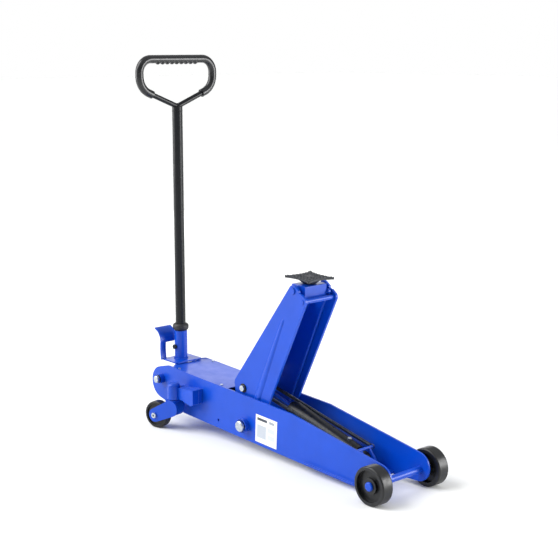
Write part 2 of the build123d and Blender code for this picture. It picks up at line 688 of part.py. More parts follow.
def cylinder_barrel():
    """Barrel with its closed front end and eye."""
    barrel = rod_x(CYL_R, 0, 0, CYL_START, CYL_END)
    barrel -= rod_x(CYL_R - CYL_WALL, 0, 0, CYL_START + 14, CYL_END + 1)
    eye = slab(round_hull([(0, 0, ANCHOR_PIN_R + EYE_WALL), (CYL_START, 0, ANCHOR_PIN_R + EYE_WALL)]),
               -EYE_W / 2, EYE_W / 2)
    eye &= block(-50, CYL_START + 1, -EYE_W, EYE_W, -50, 50)
    barrel += eye
    barrel -= rod_y(ANCHOR_PIN_R + RUN, 0, 0, -EYE_W, EYE_W)
    return along_ram(barrel)


def gland_nut():
    """Threaded gland in the barrel's open end."""
    gland = rod_x(CYL_R - CYL_WALL - FIT, 0, 0, CYL_END - 20, CYL_END)
    gland += rod_x(GLAND_R, 0, 0, CYL_END, CYL_END + GLAND_L)
    gland -= rod_x(ROD_R + RUN, 0, 0, CYL_END - 30, CYL_END + GLAND_L + 1)
    return along_ram(gland)


def bleed_screw():
    """Hexagon bleed screw on top of the barrel."""
    screw = Pos(72, 0, -CYL_R - 5) * extrude(RegularPolygon(7, 6), 10)
    return along_ram(screw - rod_x(CYL_R, 0, 0, 0, 200))


def piston_rod():
    """Rod with its slotted eye; the slot takes up what the even gearing leaves over."""
    length = ram_length(0)
    strays = eye_wander()
    along = [s[0] for s in strays]
    up = [s[1] for s in strays]
    gap = RAM_PIN_R + SOFT
    slot = round_hull([(length + a, -u, gap) for a in (min(along), max(along)) for u in (min(up), max(up))])
    head = round_hull([(length, -u, gap + EYE_WALL) for u in (min(up), max(up))])
    neck = length - gap - EYE_WALL - 6
    rod = rod_x(ROD_R, 0, 0, CYL_END - 60, neck + 14)
    rod += slab(head, -EYE_W / 2, EYE_W / 2)
    rod -= slab(slot, -EYE_W, EYE_W)
    return along_ram(rod)


def piston():
    """Piston on the rod's inner end, inside the barrel."""
    bore = CYL_R - CYL_WALL
    disc = rod_x(bore - RUN, 0, 0, CYL_END - 84, CYL_END - 60)
    disc -= ring_y_free(bore + 1, bore - 2.5, CYL_END - 76, CYL_END - 69)
    return along_ram(disc)


def ring_y_free(r_out, r_in, x0, x1):
    """Ring along X, used to cut a seal groove."""
    return rod_x(r_out, 0, 0, x0, x1) - rod_x(r_in, 0, 0, x0 - 1, x1 + 1)


def return_spring(side):
    """Outer shape of one return spring: its coil and an eye round each pin."""
    x0, z0 = HOOK_ROD
    length = hypot(RAM_X - x0, RAM_Z - z0)
    tilt = degrees(atan2(RAM_Z - z0, x0 - RAM_X))
    front = HOOK_ROD_R + SOFT + HOOK_WIRE
    rear = RAM_PIN_R + SOFT + HOOK_WIRE
    body = rod_x(SPRING_R, 0, 0, front + HOOK_WIRE - 1, length - rear - HOOK_WIRE + 1)
    body += Rot(90, 0, 0) * Torus(front, HOOK_WIRE)
    body += Pos(length, 0, 0) * Rot(90, 0, 0) * Torus(rear, HOOK_WIRE)
    return Pos(x0, side * SPRING_Y, z0) * Rot(0, 180 + tilt, 0) * body


# ---- casters ----
def caster_place(shape, side):
    """Moves a caster drawn round its swivel axis, trailing along -X, to its corner."""
    return Pos(CASTER_X, side * CASTER_Y, 0) * Rot(0, 0, -side * CASTER_TURN) * shape


def caster_bracket(side):
    """Box bracket welded on the side plate, with the swivel's boss."""
    boss_z0 = CROWN_Z + CROWN_T + SWIVEL_WASHER
    boss_z1 = boss_z0 + SWIVEL_BOSS_L
    y1 = CASTER_Y - 2
    outline = [(CASTER_X, boss_z0 + 1), (CASTER_X + FORK_TOP_R + 15, boss_z0 + 1)]
    outline += [(BRACKET_X - 14, boss_z0 - BRACKET_DROP)]
    outline += [(BRACKET_X, boss_z0 + 8 - BRACKET_DROP), (BRACKET_X, boss_z1 + 4), (CASTER_X, boss_z1 - 4)]
    arm = slab(make_face(Polyline(*outline, close=True)), HALF_W, y1)
    pocket = block(CASTER_X + SWIVEL_BOSS_R + BRACKET_WALL, BRACKET_X - BRACKET_WALL, HALF_W + BRACKET_WALL,
                   y1 - BRACKET_WALL, 0, boss_z1 - 4 - BRACKET_WALL)
    arm -= pocket
    arm += rod_z(SWIVEL_BOSS_R, CASTER_X, CASTER_Y, boss_z0, boss_z1)
    arm -= rod_z(STEM_R + RUN, CASTER_X, CASTER_Y, boss_z0 - 1, boss_z1 + 1)
    return arm if side > 0 else mirror(arm, about=Plane.XZ)


def swivel_caps():
    """Domed caps over the swivel stems."""
    z0 = CROWN_Z + CROWN_T + SWIVEL_WASHER + SWIVEL_BOSS_L
    dome = rod_z(SWIVEL_BOSS_R - 1, CASTER_X, CASTER_Y, z0, z0 + 13)
    dome = fillet(dome.edges().filter_by(GeomType.CIRCLE).sort_by(Axis.Z)[-1], 10)
    dome -= rod_z(STEM_R + 3, CASTER_X, CASTER_Y, z0 - 1, z0 + 6)
    return both_sides(dome)


def caster_fork(side):
    """Fork with two wide legs, its crown, thrust washer and stem."""
    inner = CASTER_W / 2 + 2.0
    top = CROWN_Z + CROWN_T
    leg = slab(round_hull([(0, top - FORK_TOP_R, FORK_TOP_R), (-CASTER_TRAIL, CASTER_R, FORK_R)]),
               inner, inner + FORK_T)
    fork = leg + mirror(leg, about=Plane.XZ)
    fork += block(-FORK_R, STEM_R + 6, -inner - 1, inner + 1, CROWN_Z, top)
    fork += rod_z(STEM_R + 5, 0, 0, top, top + SWIVEL_WASHER - 0.3)
    fork += rod_z(STEM_R, 0, 0, top, top + SWIVEL_WASHER + SWIVEL_BOSS_L + 3)
    fork -= rod_y(CASTER_BOLT_R + FIT, -CASTER_TRAIL, CASTER_R, -60, 60)
    return caster_place(fork, side)


def caster_wheel(side):
    """Small solid wheel with a recessed web."""
    half = CASTER_W / 2
    wheel = rod_y(CASTER_R, -CASTER_TRAIL, CASTER_R, -half, half)
    wheel = fillet(wheel.edges().filter_by(GeomType.CIRCLE), 4.0)
    for y in ((half - 5, half + 1), (-half - 1, 5 - half)):
        wheel -= ring_y(CASTER_R - 9, 15, -CASTER_TRAIL, CASTER_R, *y)
    wheel += ring_y(12, CASTER_BOLT_R + RUN, -CASTER_TRAIL, CASTER_R, -half - 1.5, half + 1.5)
    wheel -= rod_y(CASTER_BOLT_R + RUN, -CASTER_TRAIL, CASTER_R, -half - 3, half + 3)
    return caster_place(wheel, side)


def caster_bolt(side):
    """Socket-head wheel bolt with its nut."""
    y = CASTER_W / 2 + 2.0 + FORK_T
    x = -CASTER_TRAIL
    bolt = rod_y(CASTER_BOLT_R, x, CASTER_R, -y - 7, y) + rod_y(CASTER_BOLT_R + 3.5, x, CASTER_R, y, y + 6)
    bolt -= hexagon_y(8, 0.5, x, CASTER_R, y + 2, y + 7) + rod_y(1, x, CASTER_R, y + 2, y + 7)
    bolt += hexagon_y(18, CASTER_BOLT_R - 1, x, CASTER_R, -y - 7, -y)
    return caster_place(bolt if side > 0 else mirror(bolt, about=Plane.XZ), side)


# ---- handle ----
def handle_yoke():
    """Cross tube on the rear pivot, the handle's socket and the two cam cheeks."""
    yoke = rod_y(YOKE_R, TAIL_X, TAIL_Z, -YOKE_HALF_W, YOKE_HALF_W)
    yoke += rod_z(SOCKET_R, TAIL_X, 0, TAIL_Z, SOCKET_TOP)
    cam_x, cam_z = cam_place()
    cheek = slab(round_hull([(TAIL_X, TAIL_Z, YOKE_R - 4), (cam_x, cam_z, CAM_R)]), 14, 20)
    yoke += cheek + mirror(cheek, about=Plane.XZ)
    yoke -= rod_y(REAR_PIVOT_R + RUN, TAIL_X, TAIL_Z, -YOKE_HALF_W - 1, YOKE_HALF_W + 1)
    yoke -= rod_z(HANDLE_R + RUN, TAIL_X, 0, HANDLE_FOOT - 1, SOCKET_TOP + 1)
    yoke -= rod_y(5.0 + FIT, cam_x, cam_z, -40, 40)
    screw_z = SOCKET_TOP - 58
    yoke -= rod_y(SCREW_R + FIT, TAIL_X, screw_z, -SOCKET_R - 1, -HANDLE_R)
    return yoke


def cam_place():
    """Centre of the cam roller, handle upright."""
    a = radians(CAM_START)
    return TAIL_X - CAM_ARM * sin(a), TAIL_Z - CAM_ARM * cos(a)


def cam_roller():
    """Roller on its pin, pressing the pump's plunger."""
    x, z = cam_place()
    return rod_y(CAM_R, x, z, -13.5, 13.5) + rod_y(5.0, x, z, -22, 22)


def socket_screw():
    """Guide screw in the side of the socket; its tip stays clear of the handle tube."""
    z = SOCKET_TOP - 58
    screw = rod_y(SCREW_R, TAIL_X, z, -SOCKET_R - 6, -HANDLE_R - 1.0)
    plane = Plane(origin=(TAIL_X, -SOCKET_R - 1, z), x_dir=(1, 0, 0), z_dir=(0, -1, 0))
    head = extrude(plane * RegularPolygon(8.5, 6), 8)
    return screw + head - rod_z(SOCKET_R, TAIL_X, 0, z - 20, z + 20) + screw


def socket_collar():
    """Rubber collar on top of the socket."""
    collar = rod_z(COLLAR_R, TAIL_X, 0, SOCKET_TOP, SOCKET_TOP + COLLAR_H)
    collar = fillet(collar.edges().filter_by(GeomType.CIRCLE), COLLAR_H * 0.42)
    return collar - rod_z(HANDLE_R + SOFT, TAIL_X, 0, SOCKET_TOP - 1, SOCKET_TOP + COLLAR_H + 1)


def foot_pedal():
    """Curved pad on a strip, welded to a base plate round the socket."""
    y0, y1 = PEDAL_Y
    top = (TAIL_X + PEDAL_TOP[0], TAIL_Z + PEDAL_TOP[1])
    foot = (TAIL_X + PEDAL_FOOT[0], TAIL_Z + PEDAL_FOOT[1])
    mid = ((top[0] + foot[0]) / 2 + 9, (top[1] + foot[1]) / 2 + 6)
    base_z = TAIL_Z + PEDAL_BASE_Z
    knee = (foot[0] - 1, (foot[1] + base_z) / 2)
    root = (foot[0] + 3, base_z - 4)
    pad_line = ThreePointArc(top, mid, foot)
    pad = slab(trace(pad_line, PEDAL_T), y0, y1)
    across = pad.edges().filter_by(GeomType.LINE).filter_by(Axis.Y, reverse=True)
    low = [e for e in across if e.length < PEDAL_T + 1 and e.center().Z < (top[1] + foot[1]) / 2]
    pad = fillet([e for e in low if e.center().Y > 0], 14.0)
    strip = slab(trace(ThreePointArc(foot, knee, root), PEDAL_T + 1), y0, y0 + STRIP_W)
    x0 = TAIL_X + PEDAL_BASE_X[0]
    x1 = TAIL_X + PEDAL_BASE_X[1]
    base = block(x0, x1, -PEDAL_BASE_HALF_W, PEDAL_BASE_HALF_W, base_z - PEDAL_BASE_T, base_z)
    base = fillet(base.edges().filter_by(Axis.Z), 8.0)
    pedal = pad + strip + base
    return pedal - rod_z(SOCKET_R + 0.05, TAIL_X, 0, base_z - 20, base_z + 20)


def handle_tube():
    """Long tube of the handle."""
    tube = rod_z(HANDLE_R, TAIL_X, 0, HANDLE_FOOT, HANDLE_TOP)
    return tube - rod_z(HANDLE_R - HANDLE_WALL, TAIL_X, 0, HANDLE_FOOT - 1, HANDLE_TOP + 1)


def grip_half(y_from, z_from, section):
    """Sweeps a section along the right-hand half of the loop and mirrors it to the other side."""
    w = GRIP_HALF_W
    points = [(y_from, z_from), (w, GRIP_SIDE_Z), (w, GRIP_TOP_Z), (0, GRIP_TOP_Z)]
    path = FilletPolyline(*[(TAIL_X, y, z) for y, z in points], radius=[GRIP_LOW_R, GRIP_HIGH_R])
    start = Plane(origin=path @ 0, z_dir=path % 0)
    half = sweep(start * section, path=path)
    return half + mirror(half, about=Plane.XZ)


def grip_frame():
    """Bent round bar, welded to a plug that closes the handle tube."""
    loop = grip_half(0, GRIP_HEEL_Z, Circle(GRIP_TUBE_R))
    loop += Pos(TAIL_X, 0, GRIP_HEEL_Z) * Sphere(GRIP_TUBE_R * 1.3)
    loop += rod_z(HANDLE_R, TAIL_X, 0, HANDLE_TOP, GRIP_HEEL_Z)
    return loop + rod_z(HANDLE_R - HANDLE_WALL - FIT, TAIL_X, 0, HANDLE_TOP - 30, HANDLE_TOP)


def grip_sleeve():
    """Thick moulded sleeve round the loop, open at the bottom where the bar is bare."""
    z = GRIP_HEEL_Z + (GRIP_SIDE_Z - GRIP_HEEL_Z) * SLEEVE_FROM / GRIP_HALF_W
    return grip_half(SLEEVE_FROM, z, Circle(SLEEVE_R) - Circle(GRIP_TUBE_R + FIT))


# ---- pump and tank ----
def plunger_z():
    """Height of the pump plunger's axis."""
    return TAIL_Z - CAM_ARM * (1 + cos(radians(CAM_START))) / 2


def pump_plunger():
    """Plunger with its round head against the cam roller."""
    x0 = cam_place()[0] + CAM_R + 0.6
    z = plunger_z()
    head = rod_x(PLUNGER_HEAD_R, 0, z, x0, x0 + PLUNGER_HEAD_T)
    return head + rod_x(PLUNGER_R, 0, z, x0 + PLUNGER_HEAD_T, BLOCK_X[0] + 20)


def plunger_spring():
    """Outer shape of the plunger's return spring."""
    x0 = cam_place()[0] + CAM_R + 0.6 + PLUNGER_HEAD_T
    z = plunger_z()
    coil = rod_x(PLUNGER_HEAD_R, 0, z, x0 + 0.2, BLOCK_X[0] - 0.2)
    return coil - rod_x(PLUNGER_R + 0.6, 0, z, x0 - 1, BLOCK_X[0] + 1)


def pump_block():
    """Cast block with the pump's bore and the release valve's bore."""
    x0, x1 = BLOCK_X
    z0 = plate_top(x0)
    body = block(x0, x1, -BLOCK_HALF_W, BLOCK_HALF_W, z0, BLOCK_TOP)
    body = fillet(body.edges().filter_by(Axis.Z), 6.0)
    body -= rod_x(PLUNGER_R + RUN, 0, plunger_z(), x0 - 1, x0 + 20 + PLUNGER_STROKE + 6)
    body -= rod_x(SPINDLE_R + RUN, VALVE_Y, valve_height(), x0 - 1, x0 + 32)
    return body


def valve_height():
    """Height of the release valve's axis."""
    return plate_top(BLOCK_X[0]) + VALVE_Z


def release_spindle():
    """Release valve spindle with its fork, turned by the handle."""
    x0 = BLOCK_X[0]
    z = valve_height()
    spindle = rod_x(SPINDLE_R, VALVE_Y, z, x0 - 12, x0 + 30)
    fork = block(x0 - 20, x0 - 10, VALVE_Y - 11, VALVE_Y + 11, z - 7, z + 7)
    fork -= block(x0 - 22, x0 - 13, VALVE_Y - 3, VALVE_Y + 3, z - 8, z + 8)
    return spindle + fork


def block_plugs():
    """Hexagon plugs of the valves on top of the block, and the tank's filler plug."""
    plugs = []
    x_mid = (BLOCK_X[0] + BLOCK_X[1]) / 2
    for y in (-24.0, 0.0, 24.0):
        plugs.append(Pos(x_mid, y, BLOCK_TOP) * extrude(RegularPolygon(9, 6), 7))
    plugs.append(Pos(TANK_X[0] + 50, 0, TANK_TOP) * extrude(RegularPolygon(11, 6), 6))
    return group(*plugs)


def reservoir_tank():
    """Welded oil tank behind the arm."""
    x0, x1 = TANK_X
    z0 = plate_top(x0)
    tank = block(x0, x1, -TANK_HALF_W, TANK_HALF_W, z0, TANK_TOP)
    tank = fillet(tank.edges(), 8.0)
    w = TANK_WALL
    inside = block(x0 + w, x1 - w, w - TANK_HALF_W, TANK_HALF_W - w, z0 + w, TANK_TOP - w)
    return tank - fillet(inside.edges(), 5.0)


def oil_pipe():
    """Steel pipe from the pump block, past the tank, to the drilled anchor pin."""
    x0 = BLOCK_X[1] - 20
    y_tank = TANK_HALF_W + PIPE_R + 4
    y_side = INNER - PIPE_R - 0.8
    z_front = plate_top(ANCHOR_X - 60) + PIPE_R + PIPE_FLOAT
    pin_end = EYE_W / 2 + SIDE + GUSSET_T + 6
    points = [(x0, BLOCK_HALF_W, 110), (x0, y_tank, 110), (TANK_X[1] + 20, y_tank, plate_top(TANK_X[1]) + 26)]
    points += [(PIVOT_X - 50, y_side, bottom_z(PIVOT_X) + 13), (ANCHOR_X - 60, y_side, z_front)]
    points += [(ANCHOR_X, PIPE_Y, z_front), (ANCHOR_X, PIPE_Y, ANCHOR_Z), (ANCHOR_X, pin_end + 0.2, ANCHOR_Z)]
    path = FilletPolyline(*points, radius=[9, 30, 60, 30, 12, 12])
    start = Plane(origin=path @ 0, z_dir=path % 0)
    return sweep(start * Circle(PIPE_R), path=path)


# ---- label ----
def label_plate():
    """Plain white plate on the right side plate, square with the chassis."""
    z = bottom_z(LABEL_X) + LABEL_LIFT + LABEL_H / 2
    plate = block(LABEL_X - LABEL_L / 2, LABEL_X + LABEL_L / 2, -HALF_W - LABEL_T, -HALF_W,
                  z - LABEL_H / 2, z + LABEL_H / 2)
    return turned(plate, LABEL_X, z, RAKE)


def make_parts():
    """Every node of the jack, by name."""
    parts = {
        "top_cover": top_cover(),
        "cover_screws": cover_screws(),
        "front_bottom_plate": bottom_plate(FRONT_TIE_X),
        "pump_base_plate": bottom_plate(PUMP_BASE_X),
        "front_axle": front_axle(),
        "axle_end_caps": axle_end_caps(),
        "main_pivot_shaft": main_pivot_shaft(),
        "rear_pivot_shaft": rear_pivot_shaft(),
        "pivot_nuts": pivot_nuts(),
        "pivot_washers": pivot_washers(),
        "levelling_lug": levelling_lug(),
        "anchor_bracket": anchor_bracket(),
        "cylinder_anchor_pin": cylinder_anchor_pin(),
        "swivel_caps": swivel_caps(),
        "label_plate": label_plate(),
        "pump_block": pump_block(),
        "block_plugs": block_plugs(),
        "reservoir_tank": reservoir_tank(),
        "oil_pipe": oil_pipe(),
        "arm_web": arm_web(),
        "arm_tie_bar": arm_tie_bar(),
        "arm_bushes": arm_bushes(),
        "ram_pin": ram_pin(),
        "ram_pin_clips": ram_pin_clips(),
        "carrier_pins": carrier_pins(),
        "saddle_carrier": saddle_carrier(),
        "levelling_rod": levelling_rod(),
        "saddle": saddle(),
        "cylinder_barrel": cylinder_barrel(),
        "gland_nut": gland_nut(),
        "bleed_screw": bleed_screw(),
        "piston_rod": piston_rod(),
        "piston": piston(),
        "handle_yoke": handle_yoke(),
        "cam_roller": cam_roller(),
        "socket_screw": socket_screw(),
        "socket_collar": socket_collar(),
        "foot_pedal": foot_pedal(),
        "handle_tube": handle_tube(),
        "grip_frame": grip_frame(),
        "grip_sleeve": grip_sleeve(),
        "pump_plunger": pump_plunger(),
        "plunger_spring": plunger_spring(),
        "release_spindle": release_spindle(),
    }
    for side, word in ((-1, "right"), (1, "left")):
        parts["side_plate_" + word] = side_plate(side)
        parts["arm_plate_" + word] = arm_plate(side)
        parts["return_spring_" + word] = return_spring(side)
        parts["front_wheel_" + word] = front_wheel(side)
        parts["caster_bracket_" + word] = caster_bracket(side)
        parts["caster_fork_" + word] = caster_fork(side)
        parts["caster_wheel_" + word] = caster_wheel(side)
        parts["caster_bolt_" + word] = caster_bolt(side)
    return parts


def middle_x(parts):
    """Middle of the whole jack's length, in the modelling frame."""
    lows = [shape.bounding_box().min.X for shape in parts.values()]
    highs = [shape.bounding_box().max.X for shape in parts.values()]
    return (min(lows) + max(highs)) / 2


def export_all():
    """Writes one STEP file for each node, round the footprint's centre."""
    os.makedirs("parts", exist_ok=True)
    parts = make_parts()
    shift = middle_x(parts)
    for name, shape in parts.items():
        export_step(Pos(-shift, 0, 0) * shape, "parts/" + name + ".step")
    print("nodes", len(parts), "middle x", round(shift, 3))


if __name__ == "__main__":
    export_all()
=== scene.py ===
"""Finish, small parts and studio for a long-chassis hydraulic trolley jack.

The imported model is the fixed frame, in metres: +X to the front wheels, +Z up, origin on the floor under the
middle of the jack. Everything made here rides on one of its bodies.
"""
import json
from math import cos, pi, radians, sin

import bpy
from mathutils import Matrix, Vector


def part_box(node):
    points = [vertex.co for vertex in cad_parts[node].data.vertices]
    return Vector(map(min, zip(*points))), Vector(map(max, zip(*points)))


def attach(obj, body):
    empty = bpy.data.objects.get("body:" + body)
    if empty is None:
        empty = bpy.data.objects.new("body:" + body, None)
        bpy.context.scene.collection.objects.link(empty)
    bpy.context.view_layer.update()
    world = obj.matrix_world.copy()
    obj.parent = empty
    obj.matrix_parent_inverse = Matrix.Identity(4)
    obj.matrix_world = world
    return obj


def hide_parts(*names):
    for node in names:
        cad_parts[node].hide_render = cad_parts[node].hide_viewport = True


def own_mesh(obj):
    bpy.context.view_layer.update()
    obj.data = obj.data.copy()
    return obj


bl_info = {
    "name": "Trolley jack finish",
    "version": (1, 0, 0),
    "blender": (4, 5, 0),
    "location": "3D View > Sidebar > Trolley jack",
    "description": "Paint, hardware finishes, springs, weld seams and studio for a hydraulic trolley jack",
    "category": "Object",
}

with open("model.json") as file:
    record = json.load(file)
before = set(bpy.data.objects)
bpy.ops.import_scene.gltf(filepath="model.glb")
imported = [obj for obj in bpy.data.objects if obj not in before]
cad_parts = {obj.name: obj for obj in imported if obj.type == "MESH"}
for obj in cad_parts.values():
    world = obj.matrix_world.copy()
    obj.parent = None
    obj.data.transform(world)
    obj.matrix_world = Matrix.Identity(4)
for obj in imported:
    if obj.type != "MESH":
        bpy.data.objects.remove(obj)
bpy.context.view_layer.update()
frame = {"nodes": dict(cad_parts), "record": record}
MM = 0.001
SLOTS = {part["node"]: part["material_slot"] for part in frame["record"]["subparts"]}
JOINTS = {joint["name"]: joint for joint in frame["record"]["behaviour"]["joints"]}
RATIOS = {pair["joint"]: pair["ratio"] for pair in frame["record"]["behaviour"]["couplings"]}

# ---- sizes that the small parts share with the frame, in metres ----
RAKE = radians(2.55)            # the chassis stands nose down
BOTTOM_SLOPE = 0.0445           # the same rake, as a slope
EYE_OUTSIDE = 9.3 * MM          # outside of the frame spring's front eye
FRONT_EYE = 6.7 * MM            # inside of the coil's eyes: they clear their pins when the springs are short
REAR_EYE = 13.4 * MM
PUMP_WIRE = 1.2 * MM            # wire of the pump's spring
BOSS_SEAM = 23 * MM             # weld round a pivot boss
AXLE_SEAM = 12 * MM             # weld round the front axle
SOCKET_SEAM = 24 * MM           # weld round the handle's socket
SOCKET_SEAM_UP = 61 * MM        # and its height above the handle's pivot
TUBE_SEAM = 17.6 * MM           # weld round the top of the handle's tube
PLATE_INSIDE = 6.5 * MM         # from a side plate's outer face to a weld on its inner face
BRACKET_BACK = 24 * MM          # from the caster bracket's rear end to the start of its top weld
BRACKET_FOOT = 12 * MM          # from its lowest point to the end of its front weld
BRACKET_FALL = 7.4 * MM         # how much lower its top weld starts


# ---- small helpers ----
def linear(hex_colour):
    """Linear RGBA of an sRGB hex colour."""
    values = [int(hex_colour[i:i + 2], 16) / 255 for i in (0, 2, 4)]
    return tuple(v / 12.92 if v <= 0.04045 else ((v + 0.055) / 1.055) ** 2.4 for v in values) + (1.0,)


def add_node(tree, kind, settings=None, inputs=None):
    """Adds a node, sets its own settings, and sets or links its inputs."""
    node = tree.nodes.new(kind)
    for name, value in (settings or {}).items():
        setattr(node, name, value)
    for key, value in (inputs or {}).items():
        if isinstance(value, bpy.types.NodeSocket):
            tree.links.new(value, node.inputs[key])
        else:
            node.inputs[key].default_value = value
    return node


def new_finish(name):
    """Empty material: its tree, its shader and its object coordinates."""
    material = bpy.data.materials.new(name)
    material.use_nodes = True
    tree = material.node_tree
    tree.nodes.clear()
    shader = add_node(tree, "ShaderNodeBsdfPrincipled")
    add_node(tree, "ShaderNodeOutputMaterial", inputs={"Surface": shader.outputs[0]})
    place = add_node(tree, "ShaderNodeTexCoord").outputs["Object"]
    return material, tree, shader, place


def vary(tree, place, size_mm, low, high, detail=3.0):
    """A number that wanders between low and high over patches of size_mm."""
    noise = add_node(tree, "ShaderNodeTexNoise", inputs={
        "Vector": place, "Scale": 1 / (size_mm * MM), "Detail": detail, "Roughness": 0.55})
    spread = add_node(tree, "ShaderNodeMapRange", inputs={
        "Value": noise.outputs[0], "From Min": 0.3, "From Max": 0.7, "To Min": low, "To Max": high})
    return spread.outputs[0]


def two_tone(tree, share, first, second):
    """Colour between two linear colours."""
    mix = add_node(tree, "ShaderNodeMix", {"data_type": "RGBA"}, {0: share, 6: first, 7: second})
    return mix.outputs[2]


def relief(tree, shader, height, depth_mm, edge_mm=0.0, strength=1.0):
    """Bump of the given depth, over edges that look rounded by edge_mm."""
    inputs = {"Height": height, "Distance": depth_mm * MM, "Strength": strength}
    if edge_mm:
        edge = add_node(tree, "ShaderNodeBevel", {"samples": 4}, {"Radius": edge_mm * MM})
        inputs["Normal"] = edge.outputs[0]
    bump = add_node(tree, "ShaderNodeBump", inputs=inputs)
    tree.links.new(bump.outputs[0], shader.inputs["Normal"])


def darker(colour, share):
    """The same linear colour at a share of its strength."""
    return (colour[0] * share, colour[1] * share, colour[2] * share, 1.0)


def wear(nodes, material):
    """Gives the material to CAD nodes."""
    for name in nodes:
        mesh = frame["nodes"][name].data
        mesh.materials.clear()
        mesh.materials.append(material)


def in_slot(*slots):
    """CAD nodes of the named finish slots."""
    return [node for node in frame["nodes"] if SLOTS[node] in slots]


def middle(node):
    """Centre of a CAD node's box."""
    low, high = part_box(node)
    return (low + high) / 2


def limit(joint):
    """A hinge's furthest angle from rest, in degrees."""
    return max(JOINTS[joint]["range_deg"], key=abs)


def carried(point, joint, angle):
    """Where a point goes when a hinge turns by angle degrees."""
    hinge = Vector(JOINTS[joint]["pos_m"])
    return hinge + Matrix.Rotation(radians(angle), 3, Vector(JOINTS[joint]["axis"])) @ (point - hinge)


# ---- settings ----
class JackPaintSettings(bpy.types.PropertyGroup):
    """Colours and texture of the painted steel."""
    blue: bpy.props.FloatVectorProperty(
        name="Frame colour", description="Enamel on the chassis, arm, yoke and casters",
        subtype="COLOR", size=4, min=0, max=1, default=linear("0048c4"))
    black: bpy.props.FloatVectorProperty(
        name="Handle colour", description="Powder coat on the handle's tube",
        subtype="COLOR", size=4, min=0, max=1, default=linear("101318"))
    peel: bpy.props.FloatProperty(
        name="Orange peel", description="Width of the paint's fine waves",
        subtype="DISTANCE", unit="LENGTH", default=2.2 * MM, min=0.5 * MM, max=8 * MM)


class JackSpringSettings(bpy.types.PropertyGroup):
    """The two long return springs and the pump's spring."""
    wire: bpy.props.FloatProperty(
        name="Wire diameter", description="Wire of the return springs",
        subtype="DISTANCE", unit="LENGTH", default=2.6 * MM, min=1 * MM, max=4 * MM)
    pitch: bpy.props.FloatProperty(
        name="Pitch", description="From one turn to the next with the arm raised",
        subtype="DISTANCE", unit="LENGTH", default=3.9 * MM, min=2.7 * MM, max=12 * MM)
    pump_turns: bpy.props.IntProperty(
        name="Pump spring turns", description="Turns of the spring round the plunger",
        default=9, min=4, max=14)


class JackSeamSettings(bpy.types.PropertyGroup):
    """Fillet welds between the plates."""
    radius: bpy.props.FloatProperty(
        name="Bead radius", description="Half width of a weld bead",
        subtype="DISTANCE", unit="LENGTH", default=2.2 * MM, min=1 * MM, max=4 * MM)
    ripple: bpy.props.FloatProperty(
        name="Ripple", description="From one ripple of the bead to the next",
        subtype="DISTANCE", unit="LENGTH", default=4.0 * MM, min=2 * MM, max=10 * MM)


class JackGripSettings(bpy.types.PropertyGroup):
    """Finger ridges under the grip's top bar."""
    count: bpy.props.IntProperty(
        name="Ridges", description="How many finger ridges", default=9, min=2, max=16)
    pitch: bpy.props.FloatProperty(
        name="Pitch", description="From one ridge to the next",
        subtype="DISTANCE", unit="LENGTH", default=20 * MM, min=10 * MM, max=30 * MM)
    height: bpy.props.FloatProperty(
        name="Height", description="How far a ridge stands out",
        subtype="DISTANCE", unit="LENGTH", default=4.5 * MM, min=1 * MM, max=8 * MM)


class JackStageSettings(bpy.types.PropertyGroup):
    """Floor and lights."""
    floor: bpy.props.FloatVectorProperty(
        name="Floor colour", description="Matt studio floor",
        subtype="COLOR", size=4, min=0, max=1, default=linear("f7f8f7"))
    key: bpy.props.FloatProperty(
        name="Key light", description="Strength of the broad light from the left", default=2.6, min=0.0)
    top: bpy.props.FloatProperty(
        name="Top light", description="Strength of the overhead light", default=0.9, min=0.0)
    box: bpy.props.FloatProperty(
        name="Soft box", description="Power of the soft box on the left", unit="POWER", default=70.0, min=0.0)
    ambient: bpy.props.FloatProperty(
        name="Ambient", description="Strength of the room's white light", default=0.28, min=0.0, max=2.0)


